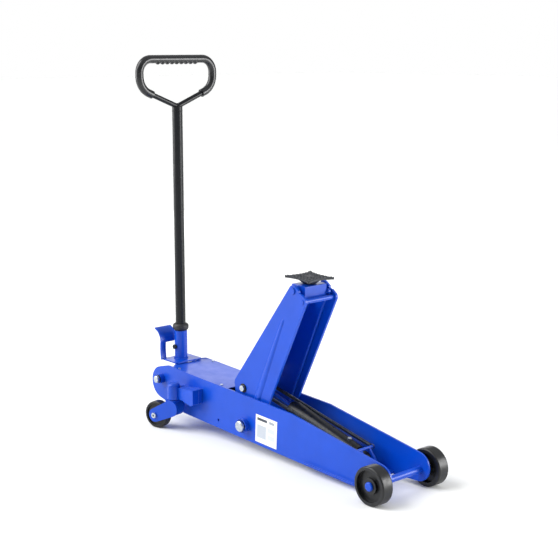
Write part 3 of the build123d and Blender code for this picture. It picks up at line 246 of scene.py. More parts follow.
# ---- stage ----
class JACK_OT_stage(bpy.types.Operator):
    """Floor, soft lights and camera"""
    bl_idname = "jack.stage"
    bl_label = "Stage"

    def execute(self, context):
        settings = context.scene.jack_stage
        mesh = bpy.data.meshes.new("floor")
        reach = 40.0
        mesh.from_pydata([(-reach, -reach, 0), (reach, -reach, 0), (reach, reach, 0), (-reach, reach, 0)],
                         [], [(0, 1, 2, 3)])
        floor = bpy.data.objects.new("floor", mesh)
        context.scene.collection.objects.link(floor)
        # matt painted studio floor: almost white, no shine, a very faint unevenness
        material, tree, shader, place = new_finish("floor_matt_paint")
        tone = vary(tree, place, 400, 0.0, 1.0)
        shader.inputs["Roughness"].default_value = 0.9
        shader.inputs["Specular IOR Level"].default_value = 0.1
        tree.links.new(two_tone(tree, tone, tuple(settings.floor), darker(settings.floor, 0.985)),
                       shader.inputs["Base Color"])
        mesh.materials.append(material)

        world = bpy.data.worlds.new("studio_white")
        context.scene.world = world
        world.use_nodes = True
        tree = world.node_tree
        tree.nodes.clear()
        seen = add_node(tree, "ShaderNodeLightPath").outputs["Is Camera Ray"]
        room = add_node(tree, "ShaderNodeBackground", inputs={
            "Color": (1, 1, 1, 1), "Strength": settings.ambient})
        card = add_node(tree, "ShaderNodeBackground", inputs={"Color": (1, 1, 1, 1), "Strength": 1.0})
        mix = add_node(tree, "ShaderNodeMixShader", inputs={0: seen, 1: room.outputs[0], 2: card.outputs[0]})
        add_node(tree, "ShaderNodeOutputWorld", inputs={"Surface": mix.outputs[0]})

        # two broad suns keep the floor even; the soft box shows as the paler sheen on the upright faces
        lights = (
            ("key_light", "SUN", settings.key, radians(50), (-1.7, -2.5, 2.7), (0.0, 0.0, 0.0)),
            ("top_light", "SUN", settings.top, radians(110), (0.3, 0.4, 4.0), (0.0, 0.0, 0.0)),
            ("soft_box", "AREA", settings.box, 2.2, (-3.0, -2.7, 1.5), (0.0, 0.0, 0.35)),
            ("front_box", "AREA", settings.box * 1.6, 1.8, (3.0, 2.4, 1.0), (0.2, 0.0, 0.2)),
            ("back_box", "AREA", settings.box * 0.5, 2.6, (-4.3, 3.6, 1.5), (-0.2, 0.0, 0.2)),
        )
        for name, kind, power, spread, spot, aim in lights:
            lamp = bpy.data.lights.new(name, kind)
            lamp.energy = power
            if kind == "SUN":
                lamp.angle = spread
            else:
                lamp.size = spread
            source = bpy.data.objects.new(name, lamp)
            source.location = spot
            source.rotation_euler = (Vector(aim) - Vector(spot)).to_track_quat("-Z", "Y").to_euler()
            source.visible_camera = False
            context.scene.collection.objects.link(source)

        lens = bpy.data.cameras.new("camera")
        lens.lens = 78.5
        lens.sensor_width = 36
        lens.clip_end = 200
        camera = bpy.data.objects.new("camera", lens)
        around, down = radians(48.18), radians(10.93)
        look = Vector((-sin(around) * cos(down), cos(around) * cos(down), -sin(down)))
        camera.location = (2.8764, -2.577, 1.3244)
        camera.rotation_euler = look.to_track_quat("-Z", "Y").to_euler()
        context.scene.collection.objects.link(camera)
        context.scene.camera = camera
        context.scene.view_settings.view_transform = "Standard"
        return {"FINISHED"}


# ---- finishes ----
def blue_enamel(settings):
    """Stoved enamel on steel: deep even blue, glossy, with a faint orange peel and soft edges."""
    material, tree, shader, place = new_finish("blue_stoved_enamel")
    blue = tuple(settings.blue)
    tone = vary(tree, place, 90, 0.0, 1.0)
    tree.links.new(two_tone(tree, tone, blue, darker(blue, 0.88)), shader.inputs["Base Color"])
    tree.links.new(vary(tree, place, 45, 0.30, 0.42), shader.inputs["Roughness"])
    shader.inputs["IOR"].default_value = 1.5
    shader.inputs["Specular IOR Level"].default_value = 0.3
    shader.inputs["Coat Weight"].default_value = 0.15
    shader.inputs["Coat Roughness"].default_value = 0.12
    # paint waves about 2 mm wide, 0.02 mm high
    relief(tree, shader, vary(tree, place, settings.peel / MM, 0.0, 1.0, 1.0), 0.025, 0.9)
    return material


def black_powder_coat(settings):
    """Powder coat on tube: black, half gloss, finely grained."""
    material, tree, shader, place = new_finish("black_powder_coat")
    black = tuple(settings.black)
    tone = vary(tree, place, 60, 0.0, 1.0)
    tree.links.new(two_tone(tree, tone, black, darker(black, 0.7)), shader.inputs["Base Color"])
    tree.links.new(vary(tree, place, 25, 0.24, 0.34), shader.inputs["Roughness"])
    shader.inputs["IOR"].default_value = 1.5
    shader.inputs["Specular IOR Level"].default_value = 0.3
    # powder grain about 0.8 mm, drawn at 1.6 mm so that it shows
    relief(tree, shader, vary(tree, place, 1.6, 0.0, 1.0, 1.0), 0.012, 0.6)
    return material


def moulded_grip():
    """Injection moulded vinyl sleeve: black, smooth and shiny, with slow flow marks."""
    material, tree, shader, place = new_finish("black_moulded_vinyl")
    tone = vary(tree, place, 35, 0.0, 1.0)
    tree.links.new(two_tone(tree, tone, linear("17191d"), linear("0f1013")), shader.inputs["Base Color"])
    tree.links.new(vary(tree, place, 14, 0.22, 0.34), shader.inputs["Roughness"])
    shader.inputs["IOR"].default_value = 1.53
    relief(tree, shader, vary(tree, place, 5, 0.0, 1.0, 2.0), 0.035, 0.5)
    return material


def turned_nylon(name, hub, axle):
    """Cast nylon, faced on a lathe: dark grey, satin, with fine rings round the axle."""
    material, tree, shader, place = new_finish("nylon_" + name)
    turn = Vector(axle).rotation_difference(Vector((0, 0, 1))).to_euler()
    shift = add_node(tree, "ShaderNodeVectorMath", {"operation": "SUBTRACT"}, {0: place, 1: tuple(hub)})
    local = add_node(tree, "ShaderNodeMapping", {"vector_type": "POINT"}, {
        "Vector": shift.outputs[0], "Rotation": tuple(turn)})
    split = add_node(tree, "ShaderNodeSeparateXYZ", inputs={0: local.outputs[0]})
    flat = add_node(tree, "ShaderNodeCombineXYZ", inputs={0: split.outputs[0], 1: split.outputs[1]})
    out = add_node(tree, "ShaderNodeVectorMath", {"operation": "LENGTH"}, {0: flat.outputs[0]})
    # lathe rings 0.3 mm apart, drawn 2 mm apart so that they show
    ring_step = 2 * MM
    turns = add_node(tree, "ShaderNodeMath", {"operation": "MULTIPLY"}, {
        0: out.outputs["Value"], 1: 2 * pi / ring_step})
    wave = add_node(tree, "ShaderNodeMath", {"operation": "SINE"}, {0: turns.outputs[0]})
    rough = vary(tree, place, 9, 0.0, 1.0)
    height = add_node(tree, "ShaderNodeMath", {"operation": "MULTIPLY_ADD"}, {
        0: wave.outputs[0], 1: 0.25, 2: rough})
    tone = vary(tree, place, 22, 0.0, 1.0)
    tree.links.new(two_tone(tree, tone, linear("15171a"), linear("0d0e11")), shader.inputs["Base Color"])
    tree.links.new(vary(tree, place, 12, 0.30, 0.42), shader.inputs["Roughness"])
    shader.inputs["IOR"].default_value = 1.53
    shader.inputs["Specular IOR Level"].default_value = 0.4
    relief(tree, shader, height.outputs[0], 0.07, 1.2)
    return material


def zinc_plate():
    """Bright zinc plate on steel: pale silver, slightly clouded, with a faint blue passivation."""
    material, tree, shader, place = new_finish("zinc_plated_steel")
    tone = vary(tree, place, 8, 0.0, 1.0)
    tree.links.new(two_tone(tree, tone, linear("d3d8dc"), linear("aab4bf")), shader.inputs["Base Color"])
    tree.links.new(vary(tree, place, 5, 0.22, 0.42), shader.inputs["Roughness"])
    shader.inputs["Metallic"].default_value = 1.0
    relief(tree, shader, vary(tree, place, 1.5, 0.0, 1.0), 0.02, 0.4)
    return material


def black_enamel():
    """Brushed-on black enamel over cast and drawn steel: near black, half gloss, slightly uneven."""
    material, tree, shader, place = new_finish("black_enamel")
    tone = vary(tree, place, 30, 0.0, 1.0)
    tree.links.new(two_tone(tree, tone, linear("15191c"), linear("0b0d0f")), shader.inputs["Base Color"])
    tree.links.new(vary(tree, place, 12, 0.24, 0.40), shader.inputs["Roughness"])
    shader.inputs["IOR"].default_value = 1.5
    shader.inputs["Specular IOR Level"].default_value = 0.3
    relief(tree, shader, vary(tree, place, 4, 0.0, 1.0), 0.05, 0.7)
    return material


def ground_chrome():
    """Hard chrome on a ground rod: bright, with very fine grinding marks."""
    material, tree, shader, place = new_finish("ground_hard_chrome")
    tone = vary(tree, place, 20, 0.0, 1.0)
    tree.links.new(two_tone(tree, tone, linear("dcdfe2"), linear("c3c8cd")), shader.inputs["Base Color"])
    tree.links.new(vary(tree, place, 3, 0.10, 0.22), shader.inputs["Roughness"])
    shader.inputs["Metallic"].default_value = 1.0
    relief(tree, shader, vary(tree, place, 0.8, 0.0, 1.0), 0.004, 0.4)
    return material


def oiled_spring_wire():
    """Oil-hardened spring wire: dark grey steel with a dull shine."""
    material, tree, shader, place = new_finish("oiled_spring_wire")
    tone = vary(tree, place, 6, 0.0, 1.0)
    tree.links.new(two_tone(tree, tone, linear("5d6268"), linear("3c4045")), shader.inputs["Base Color"])
    tree.links.new(vary(tree, place, 3, 0.28, 0.45), shader.inputs["Roughness"])
    shader.inputs["Metallic"].default_value = 1.0
    relief(tree, shader, vary(tree, place, 0.7, 0.0, 1.0), 0.01)
    return material


def sand_casting():
    """Sand-cast iron, dipped in grey-black primer: matt, with a coarse skin of 1 to 2 mm grit."""
    material, tree, shader, place = new_finish("sand_cast_iron")
    tone = vary(tree, place, 9, 0.0, 1.0, 5.0)
    tree.links.new(two_tone(tree, tone, linear("30343e"), linear("171a20")), shader.inputs["Base Color"])
    tree.links.new(vary(tree, place, 4, 0.45, 0.70), shader.inputs["Roughness"])
    shader.inputs["IOR"].default_value = 1.5
    relief(tree, shader, vary(tree, place, 1.6, 0.0, 1.0, 4.0), 0.35, 1.0)
    return material


def moulded_rubber():
    """Moulded rubber: black and matt, with a slight bloom."""
    material, tree, shader, place = new_finish("moulded_rubber")
    tone = vary(tree, place, 10, 0.0, 1.0)
    tree.links.new(two_tone(tree, tone, linear("15161a"), linear("1f2025")), shader.inputs["Base Color"])
    tree.links.new(vary(tree, place, 6, 0.45, 0.62), shader.inputs["Roughness"])
    shader.inputs["IOR"].default_value = 1.52
    relief(tree, shader, vary(tree, place, 1.2, 0.0, 1.0), 0.05, 0.8)
    return material


def bearing_bronze():
    """Turned bearing bronze: warm brown-gold, satin."""
    material, tree, shader, place = new_finish("turned_bearing_bronze")
    tone = vary(tree, place, 7, 0.0, 1.0)
    tree.links.new(two_tone(tree, tone, linear("b58a52"), linear("8f6a3c")), shader.inputs["Base Color"])
    tree.links.new(vary(tree, place, 4, 0.28, 0.42), shader.inputs["Roughness"])
    shader.inputs["Metallic"].default_value = 1.0
    relief(tree, shader, vary(tree, place, 1.0, 0.0, 1.0), 0.02, 0.4)
    return material


def printed_film():
    """Printed vinyl film: white and satin, with a plain grey panel, bar and rule in place of any print."""
    material, tree, shader, place = new_finish("white_printed_film")
    shift = add_node(tree, "ShaderNodeVectorMath", {"operation": "SUBTRACT"}, {
        0: place, 1: tuple(middle("label_plate"))})
    level = add_node(tree, "ShaderNodeMapping", {"vector_type": "POINT"}, {
        "Vector": shift.outputs[0], "Rotation": (0, -RAKE, 0)})
    split = add_node(tree, "ShaderNodeSeparateXYZ", inputs={0: level.outputs[0]})
    colour = two_tone(tree, vary(tree, place, 18, 0.0, 1.0), linear("f6f4f0"), linear("ece9e4"))
    # panels in mm from the middle of the label: middle along, middle up, half length, half height, colour
    panels = ((-20, 33, 24, 4.5, "3b4350"), (26, 33, 12, 4.5, "9aa2ab"), (0, 24, 46, 0.6, "8d949c"),
              (-22, -8, 22, 22, "b9c0c8"), (25, 6, 17, 8, "cdd2d7"), (25, -18, 17, 8, "cdd2d7"))
    for along, up, half_long, half_high, shade in panels:
        inside = None
        for socket, at, half in ((split.outputs[0], along, half_long), (split.outputs[2], up, half_high)):
            test = add_node(tree, "ShaderNodeMath", {"operation": "COMPARE"}, {
                0: socket, 1: at * MM, 2: half * MM}).outputs[0]
            inside = test if inside is None else add_node(
                tree, "ShaderNodeMath", {"operation": "MULTIPLY"}, {0: inside, 1: test}).outputs[0]
        colour = two_tone(tree, inside, colour, linear(shade))
    tree.links.new(colour, shader.inputs["Base Color"])
    tree.links.new(vary(tree, place, 8, 0.30, 0.42), shader.inputs["Roughness"])
    shader.inputs["IOR"].default_value = 1.48
    relief(tree, shader, vary(tree, place, 6, 0.0, 1.0), 0.02)
    return material


class JACK_OT_painted_frame(bpy.types.Operator):
    """Blue enamel on the chassis, arm, yoke, pedal and casters"""
    bl_idname = "jack.painted_frame"
    bl_label = "Painted frame"

    def execute(self, context):
        wear(in_slot("blue_paint"), blue_enamel(context.scene.jack_paint))
        return {"FINISHED"}


class JACK_OT_hardware(bpy.types.Operator):
    """Zinc plate, bronze and rubber on the pins, nuts, screws, bushes and collar"""
    bl_idname = "jack.hardware"
    bl_label = "Hardware"

    def execute(self, context):
        wear(in_slot("zinc"), zinc_plate())
        wear(in_slot("bronze"), bearing_bronze())
        wear(in_slot("black_rubber"), moulded_rubber())
        return {"FINISHED"}


class JACK_OT_hydraulics(bpy.types.Operator):
    """Black enamel on the pump, tank and cylinder, hard chrome on the rods"""
    bl_idname = "jack.hydraulics"
    bl_label = "Hydraulics"

    def execute(self, context):
        wear(in_slot("black_steel"), black_enamel())
        wear(in_slot("ram_steel"), ground_chrome())
        return {"FINISHED"}


class JACK_OT_wheels(bpy.types.Operator):
    """Turned nylon on the front wheels and the casters"""
    bl_idname = "jack.wheels"
    bl_label = "Wheels"

    def execute(self, context):
        for side in ("right", "left"):
            front = "front_wheel_" + side
            caster = "caster_wheel_" + side
            wear([front], turned_nylon(front, middle(front), (0, 1, 0)))
            wear([caster], turned_nylon(caster, middle(caster), JOINTS["caster_roll_" + side]["axis"]))
        return {"FINISHED"}


class JACK_OT_handle(bpy.types.Operator):
    """Powder coat on the handle's tube and moulded vinyl on its grip"""
    bl_idname = "jack.handle"
    bl_label = "Handle"

    def execute(self, context):
        wear(in_slot("handle_black"), black_powder_coat(context.scene.jack_paint))
        wear(in_slot("grip_black"), moulded_grip())
        return {"FINISHED"}


class JACK_OT_saddle(bpy.types.Operator):
    """Sand-cast skin on the saddle"""
    bl_idname = "jack.saddle"
    bl_label = "Saddle"

    def execute(self, context):
        wear(in_slot("cast_iron"), sand_casting())
        return {"FINISHED"}


class JACK_OT_label(bpy.types.Operator):
    """Plain printed film on the side plate"""
    bl_idname = "jack.label"
    bl_label = "Label"

    def execute(self, context):
        wear(in_slot("label_white"), printed_film())
        return {"FINISHED"}


# ---- pieces made by rule ----
def new_tree(name, sockets):
    """Geometry tree with named inputs, each a (name, kind, default)."""
    tree = bpy.data.node_groups.new(name, "GeometryNodeTree")
    tree.interface.new_socket("Geometry", in_out="INPUT", socket_type="NodeSocketGeometry")
    for label, kind, default in sockets:
        socket = tree.interface.new_socket(label, in_out="INPUT", socket_type=kind)
        if default is not None:
            socket.default_value = default
    tree.interface.new_socket("Geometry", in_out="OUTPUT", socket_type="NodeSocketGeometry")
    return tree, add_node(tree, "NodeGroupInput")


def close_tree(tree, geometry, material):
    """Ends a geometry tree: real geometry, smooth, in one material."""
    real = add_node(tree, "GeometryNodeRealizeInstances", inputs={"Geometry": geometry})
    smooth = add_node(tree, "GeometryNodeSetShadeSmooth", inputs={0: real.outputs[0]})
    worn = add_node(tree, "GeometryNodeSetMaterial", inputs={0: smooth.outputs[0], "Material": material})
    add_node(tree, "NodeGroupOutput", inputs={0: worn.outputs[0]})


def grown(name, tree, values, start=None):
    """Object made by a geometry tree with the given inputs, as a plain mesh."""
    seed = start or bpy.data.meshes.new(name + "_seed")
    holder = bpy.data.objects.new(name, seed)
    bpy.context.scene.collection.objects.link(holder)
    modifier = holder.modifiers.new("grow", "NODES")
    modifier.node_group = tree
    ids = {s.name: s.identifier for s in tree.interface.items_tree if s.in_out == "INPUT"}
    for label, value in values.items():
        modifier[ids[label]] = value
    graph = bpy.context.evaluated_depsgraph_get()
    mesh = bpy.data.meshes.new_from_object(holder.evaluated_get(graph))
    holder.modifiers.clear()
    holder.data = mesh
    mesh.name = name
    bpy.data.meshes.remove(seed)
    if not mesh.polygons:
        raise RuntimeError(name + " came out empty")
    return holder


def joined(name, holders):
    """Several finished objects as one."""
    first = holders[0]
    with bpy.context.temp_override(active_object=first, selected_editable_objects=holders):
        bpy.ops.object.join()
    first.name = name
    first.data.name = name
    return first


def coil_tree(name, material, eyes):
    """Tree of a wire coil along +Z, with an eye round each pin where eyes is true."""
    number = "NodeSocketFloat"
    tree, given = new_tree(name, (
        ("Wire Radius", number, 1.3 * MM), ("Coil Radius", number, 4.7 * MM), ("Turns", number, 100.0),
        ("Start", number, 0.0), ("Height", number, 0.4), ("Front Eye", number, 7 * MM),
        ("Rear Eye", number, 12 * MM), ("Length", number, 0.5), ("Steps", "NodeSocketInt", 14)))
    g = given.outputs
    spiral = add_node(tree, "GeometryNodeCurveSpiral", inputs={
        "Resolution": g["Steps"], "Rotations": g["Turns"], "Start Radius": g["Coil Radius"],
        "End Radius": g["Coil Radius"], "Height": g["Height"]})
    lift = add_node(tree, "ShaderNodeCombineXYZ", inputs={2: g["Start"]})
    body = add_node(tree, "GeometryNodeTransform", inputs={
        0: spiral.outputs[0], "Translation": lift.outputs[0]})
    lines = [body.outputs[0]]
    if eyes:
        for eye, sign, at in (("Front Eye", 1.0, None), ("Rear Eye", -1.0, "Length")):
            # an eye starts where the coil's radius meets it and goes round to the far side
            share = add_node(tree, "ShaderNodeMath", {"operation": "DIVIDE"}, {
                0: g["Coil Radius"], 1: g[eye]})
            meet = add_node(tree, "ShaderNodeMath", {"operation": "ARCCOSINE"}, {0: share.outputs[0]})
            first = add_node(tree, "ShaderNodeMath", {"operation": "MULTIPLY"}, {
                0: meet.outputs[0], 1: sign})
            sweep = add_node(tree, "ShaderNodeMath", {"operation": "MULTIPLY_ADD"}, {
                0: meet.outputs[0], 1: -2 * sign, 2: -pi * sign})
            arc = add_node(tree, "GeometryNodeCurveArc", inputs={
                "Resolution": 28, "Radius": g[eye], "Start Angle": first.outputs[0],
                "Sweep Angle": sweep.outputs[0]})
            inputs = {0: arc.outputs[0], "Rotation": (pi / 2, 0, 0)}
            if at:
                inputs["Translation"] = add_node(tree, "ShaderNodeCombineXYZ", inputs={2: g[at]}).outputs[0]
            lines.append(add_node(tree, "GeometryNodeTransform", inputs=inputs).outputs[0])
    join = add_node(tree, "GeometryNodeJoinGeometry")
    for line in lines:
        tree.links.new(line, join.inputs[0])
    ring = add_node(tree, "GeometryNodeCurvePrimitiveCircle", inputs={
        "Resolution": 8, "Radius": g["Wire Radius"]})
    wire = add_node(tree, "GeometryNodeCurveToMesh", inputs={
        0: join.outputs[0], "Profile Curve": ring.outputs[0], "Fill Caps": True})
    close_tree(tree, wire.outputs[0], material)
    return tree


class JACK_OT_return_springs(bpy.types.Operator):
    """The two long springs that pull the arm down, with an eye round each pin"""
    bl_idname = "jack.return_springs"
    bl_label = "Return springs"

    def execute(self, context):
        settings = context.scene.jack_springs
        wire = settings.wire / 2
        tree = coil_tree("return_spring_coil", oiled_spring_wire(), True)
        holders = []
        for side in ("right", "left"):
            low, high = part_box("return_spring_" + side)
            rear = middle("ram_pin")
            front_eye = FRONT_EYE + wire
            rear_eye = REAR_EYE + wire
            front = Vector((high.x - EYE_OUTSIDE, 0, low.z + EYE_OUTSIDE))
            front.y = rear.y = (low.y + high.y) / 2
            length = (rear - front).length
            coil = (high.y - low.y) / 2 - wire
            start = (front_eye ** 2 - coil ** 2) ** 0.5 + 0.6 * MM
            end = (rear_eye ** 2 - coil ** 2) ** 0.5
            height = length - start - end
            holder = grown("return_spring_" + side + "_coil", tree, {
                "Wire Radius": wire, "Coil Radius": coil, "Turns": float(round(height / settings.pitch)),
                "Start": start, "Height": height, "Front Eye": front_eye, "Rear Eye": rear_eye,
                "Length": length, "Steps": 14})
            along = (rear - front).normalized()
            across = Vector((0, 1, 0))
            turn = Matrix((across.cross(along), across, along)).transposed().to_4x4()
            holder.data.transform(Matrix.Translation(front) @ turn)
            holders.append(holder)
        springs = joined("return_spring_coils", holders)
        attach(springs, "cylinder")
        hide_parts("return_spring_right", "return_spring_left")
        # the rear pin's place at full travel, seen from the tilted cylinder; the crush towards it is worked
        # out but the coils are not moved by it
        rear.y = front.y = 0
        lowered = carried(rear, "arm_lift", limit("arm_lift"))
        lowered = carried(lowered, "cylinder_tilt", -limit("arm_lift") * RATIOS["cylinder_tilt"])
        crush = lowered - rear
        along = crush.normalized()
        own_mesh(springs)
        return {"FINISHED"}


class JACK_OT_plunger_spring(bpy.types.Operator):
    """Compression spring round the pump's plunger"""
    bl_idname = "jack.plunger_spring"
    bl_label = "Plunger spring"

    def execute(self, context):
        settings = context.scene.jack_springs
        low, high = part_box("plunger_spring")
        wire = PUMP_WIRE
        tree = coil_tree("plunger_spring_coil", oiled_spring_wire(), False)
        radius = (high.z - low.z) / 2 - wire
        length = high.x - low.x
        spring = grown("plunger_spring_wire", tree, {
            "Wire Radius": wire, "Coil Radius": radius, "Turns": float(settings.pump_turns), "Start": wire,
            "Height": length - 2 * wire, "Steps": 24})
        place = Matrix.Translation((low.x, (low.y + high.y) / 2, (low.z + high.z) / 2))
        spring.data.transform(place @ Matrix.Rotation(pi / 2, 4, "Y"))
        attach(spring, "plunger")
        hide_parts("plunger_spring")
        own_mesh(spring)
        return {"FINISHED"}


def seam_tree(material):
    """Tree that lays a rippled weld bead along a line of edges."""
    tree, given = new_tree("weld_bead", (
        ("Bead Radius", "NodeSocketFloat", 2.2 * MM), ("Ripple", "NodeSocketFloat", 4 * MM)))
    g = given.outputs
    curve = add_node(tree, "GeometryNodeMeshToCurve", inputs={0: g["Geometry"]})
    even = add_node(tree, "GeometryNodeResampleCurve", {"mode": "LENGTH"}, {
        0: curve.outputs[0], "Length": g["Ripple"]})
    ring = add_node(tree, "GeometryNodeCurvePrimitiveCircle", inputs={
        "Resolution": 8, "Radius": g["Bead Radius"]})
    core = add_node(tree, "GeometryNodeCurveToMesh", inputs={
        0: even.outputs[0], "Profile Curve": ring.outputs[0], "Fill Caps": True})
    drop = add_node(tree, "GeometryNodeMeshIcoSphere", inputs={"Radius": 1.0, "Subdivisions": 2})
    line = add_node(tree, "GeometryNodeInputTangent")
    turn = add_node(tree, "FunctionNodeAlignRotationToVector", {"axis": "X"}, {"Vector": line.outputs[0]})
    wide = add_node(tree, "ShaderNodeMath", {"operation": "MULTIPLY"}, {0: g["Bead Radius"], 1: 1.25})
    long = add_node(tree, "ShaderNodeMath", {"operation": "MULTIPLY"}, {0: g["Ripple"], 1: 0.62})
    size = add_node(tree, "ShaderNodeCombineXYZ", inputs={
        0: long.outputs[0], 1: wide.outputs[0], 2: wide.outputs[0]})
    drops = add_node(tree, "GeometryNodeInstanceOnPoints", inputs={
        "Points": even.outputs[0], "Instance": drop.outputs[0], "Rotation": turn.outputs[0],
        "Scale": size.outputs[0]})
    join = add_node(tree, "GeometryNodeJoinGeometry")
    tree.links.new(core.outputs[0], join.inputs[0])
    tree.links.new(drops.outputs[0], join.inputs[0])
    close_tree(tree, join.outputs[0], material)
    return tree


def circle_y(x, y, z, radius, steps=40):
    """Points of a closed circle square to Y."""
    return [(x + radius * cos(2 * pi * i / steps), y, z + radius * sin(2 * pi * i / steps))
            for i in range(steps)] + [(x + radius, y, z)]


def circle_z(x, y, z, radius, steps=40):
    """Points of a closed circle square to Z."""
    return [(x + radius * cos(2 * pi * i / steps), y + radius * sin(2 * pi * i / steps), z)
            for i in range(steps)] + [(x + radius, y, z)]


def seam_lines():
    """Lines of the weld seams for each body, from the places of the welded parts."""
    pivot = Vector(JOINTS["arm_lift"]["pos_m"])
    yoke = Vector(JOINTS["handle_pump"]["pos_m"])
    axle = middle("front_axle")
    seams = {"chassis": [], "lift_arm": [], "yoke": [], "handle": []}
    face = abs(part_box("side_plate_right")[0].y)
    for side, name in ((-1, "right"), (1, "left")):
        chassis = seams["chassis"]
        chassis.append(circle_y(pivot.x, side * (face + 0.6 * MM), pivot.z, BOSS_SEAM))
        chassis.append(circle_y(axle.x, side * (face + 0.5 * MM), axle.z, AXLE_SEAM))
        chassis.append(circle_y(axle.x, side * (face - PLATE_INSIDE), axle.z, AXLE_SEAM))
        low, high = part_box("caster_bracket_" + name)
        out = side * (face + 0.8 * MM)
        front = high.x + 0.6 * MM
        chassis.append([(low.x + BRACKET_BACK, out, high.z - BRACKET_FALL), (front, out, high.z + 0.6 * MM),
                        (front, out, low.z + BRACKET_FOOT)])
        low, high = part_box("front_bottom_plate")
        drop = (high.x - low.x) * BOTTOM_SLOPE
        within = side * (face - 7.2 * MM)
        chassis.append([(low.x + 4 * MM, within, high.z), (high.x - 4 * MM, within, high.z - drop)])
        low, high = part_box("arm_web")
        half = side * (high.y - 1.2 * MM)
        seams["lift_arm"].append([(low.x + 2 * MM, half, low.z + 6.5 * MM),
                                  (high.x - 6 * MM, half, high.z - 1 * MM)])
    seams["yoke"].append(circle_z(yoke.x, 0, yoke.z + SOCKET_SEAM_UP, SOCKET_SEAM))
    tube_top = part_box("handle_tube")[1].z
    seams["handle"].append(circle_z(middle("handle_tube").x, 0, tube_top, TUBE_SEAM))
    return seams


class JACK_OT_weld_seams(bpy.types.Operator):
    """Rippled fillet welds, painted over with the frame"""
    bl_idname = "jack.weld_seams"
    bl_label = "Weld seams"

    def execute(self, context):
        settings = context.scene.jack_seams
        blue = bpy.data.materials.get("blue_stoved_enamel")
        black = bpy.data.materials.get("black_powder_coat")
        if not blue or not black:
            raise RuntimeError("paint the frame and the handle before the weld seams")
        trees = {"blue_paint": seam_tree(blue), "handle_black": seam_tree(black)}
        for body, lines in seam_lines().items():
            points = [point for line in lines for point in line]
            edges = []
            first = 0
            for line in lines:
                edges += [(first + i, first + i + 1) for i in range(len(line) - 1)]
                first += len(line)
            start = bpy.data.meshes.new("seam_lines")
            start.from_pydata(points, edges, [])
            slot, share = ("handle_black", 0.55) if body == "handle" else ("blue_paint", 0.8)
            beads = grown("weld_seams_" + body, trees[slot], {
                "Bead Radius": settings.radius * share, "Ripple": settings.ripple}, start)
            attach(beads, body)
        return {"FINISHED"}


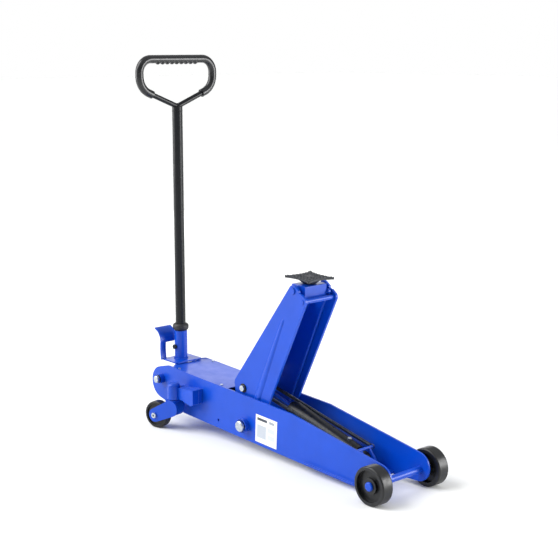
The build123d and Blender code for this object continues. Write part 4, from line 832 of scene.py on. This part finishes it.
class JACK_OT_grip_ridges(bpy.types.Operator):
    """Rounded finger ridges under the grip's top bar"""
    bl_idname = "jack.grip_ridges"
    bl_label = "Grip ridges"

    def execute(self, context):
        settings = context.scene.jack_grip
        low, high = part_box("grip_sleeve")
        material = bpy.data.materials.get("black_moulded_vinyl")
        if not material:
            raise RuntimeError("finish the handle before its ridges")
        tree, given = new_tree("finger_ridges", (
            ("Count", "NodeSocketInt", 8), ("Pitch", "NodeSocketFloat", 18 * MM),
            ("Height", "NodeSocketFloat", 4 * MM), ("Bar Radius", "NodeSocketFloat", 14 * MM)))
        g = given.outputs
        step = add_node(tree, "ShaderNodeCombineXYZ", inputs={1: g["Pitch"]})
        row = add_node(tree, "GeometryNodeMeshLine", inputs={
            "Count": g["Count"], "Start Location": (0, 0, 0), "Offset": step.outputs[0]})
        ball = add_node(tree, "GeometryNodeMeshUVSphere", inputs={"Segments": 24, "Rings": 16, "Radius": 1.0})
        wide = add_node(tree, "ShaderNodeMath", {"operation": "MULTIPLY"}, {0: g["Bar Radius"], 1: 0.82})
        deep = add_node(tree, "ShaderNodeMath", {"operation": "MULTIPLY"}, {0: g["Height"], 1: 2.2})
        thick = add_node(tree, "ShaderNodeMath", {"operation": "MULTIPLY"}, {0: g["Pitch"], 1: 0.42})
        size = add_node(tree, "ShaderNodeCombineXYZ", inputs={
            0: wide.outputs[0], 1: thick.outputs[0], 2: deep.outputs[0]})
        bumps = add_node(tree, "GeometryNodeInstanceOnPoints", inputs={
            "Points": row.outputs[0], "Instance": ball.outputs[0], "Scale": size.outputs[0]})
        close_tree(tree, bumps.outputs[0], material)
        radius = (high.x - low.x) / 2
        ridges = grown("grip_finger_ridges", tree, {
            "Count": settings.count, "Pitch": settings.pitch, "Height": settings.height,
            "Bar Radius": radius})
        under = high.z - 2 * radius
        first = -(settings.count - 1) * settings.pitch / 2
        shift = ((low.x + high.x) / 2, first, under + 1.2 * settings.height)
        ridges.data.transform(Matrix.Translation(shift))
        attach(ridges, "handle")
        return {"FINISHED"}


class JACK_PT_sidebar(bpy.types.Panel):
    """Lists the steps that finish the jack"""
    bl_idname = "JACK_PT_sidebar"
    bl_label = "Trolley jack"
    bl_space_type = "VIEW_3D"
    bl_region_type = "UI"
    bl_category = "Trolley jack"

    def draw(self, context):
        for step in STEPS:
            self.layout.operator(step.bl_idname)


GROUPS = {
    "jack_paint": JackPaintSettings,
    "jack_springs": JackSpringSettings,
    "jack_seams": JackSeamSettings,
    "jack_grip": JackGripSettings,
    "jack_stage": JackStageSettings,
}
STEPS = (
    JACK_OT_stage, JACK_OT_painted_frame, JACK_OT_hardware, JACK_OT_hydraulics, JACK_OT_wheels,
    JACK_OT_handle, JACK_OT_saddle, JACK_OT_label, JACK_OT_return_springs, JACK_OT_plunger_spring,
    JACK_OT_weld_seams, JACK_OT_grip_ridges,
)


def register():
    """Adds the settings, the steps and the panel."""
    for name, group in GROUPS.items():
        bpy.utils.register_class(group)
        setattr(bpy.types.Scene, name, bpy.props.PointerProperty(type=group))
    for step in STEPS:
        bpy.utils.register_class(step)
    bpy.utils.register_class(JACK_PT_sidebar)


def unregister():
    """Takes the panel, the steps and the settings away."""
    bpy.utils.unregister_class(JACK_PT_sidebar)
    for step in reversed(STEPS):
        bpy.utils.unregister_class(step)
    for name, group in reversed(GROUPS.items()):
        delattr(bpy.types.Scene, name)
        bpy.utils.unregister_class(group)


def main():
    """Finishes the jack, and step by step."""
    register()
    bpy.ops.jack.stage()
    bpy.ops.jack.painted_frame()
    bpy.ops.jack.hardware()
    bpy.ops.jack.hydraulics()
    bpy.ops.jack.wheels()
    bpy.ops.jack.handle()
    bpy.ops.jack.saddle()
    bpy.ops.jack.label()
    bpy.ops.jack.return_springs()
    bpy.ops.jack.plunger_spring()
    bpy.ops.jack.weld_seams()
    bpy.ops.jack.grip_ridges()


if __name__ == "__main__":
    main()
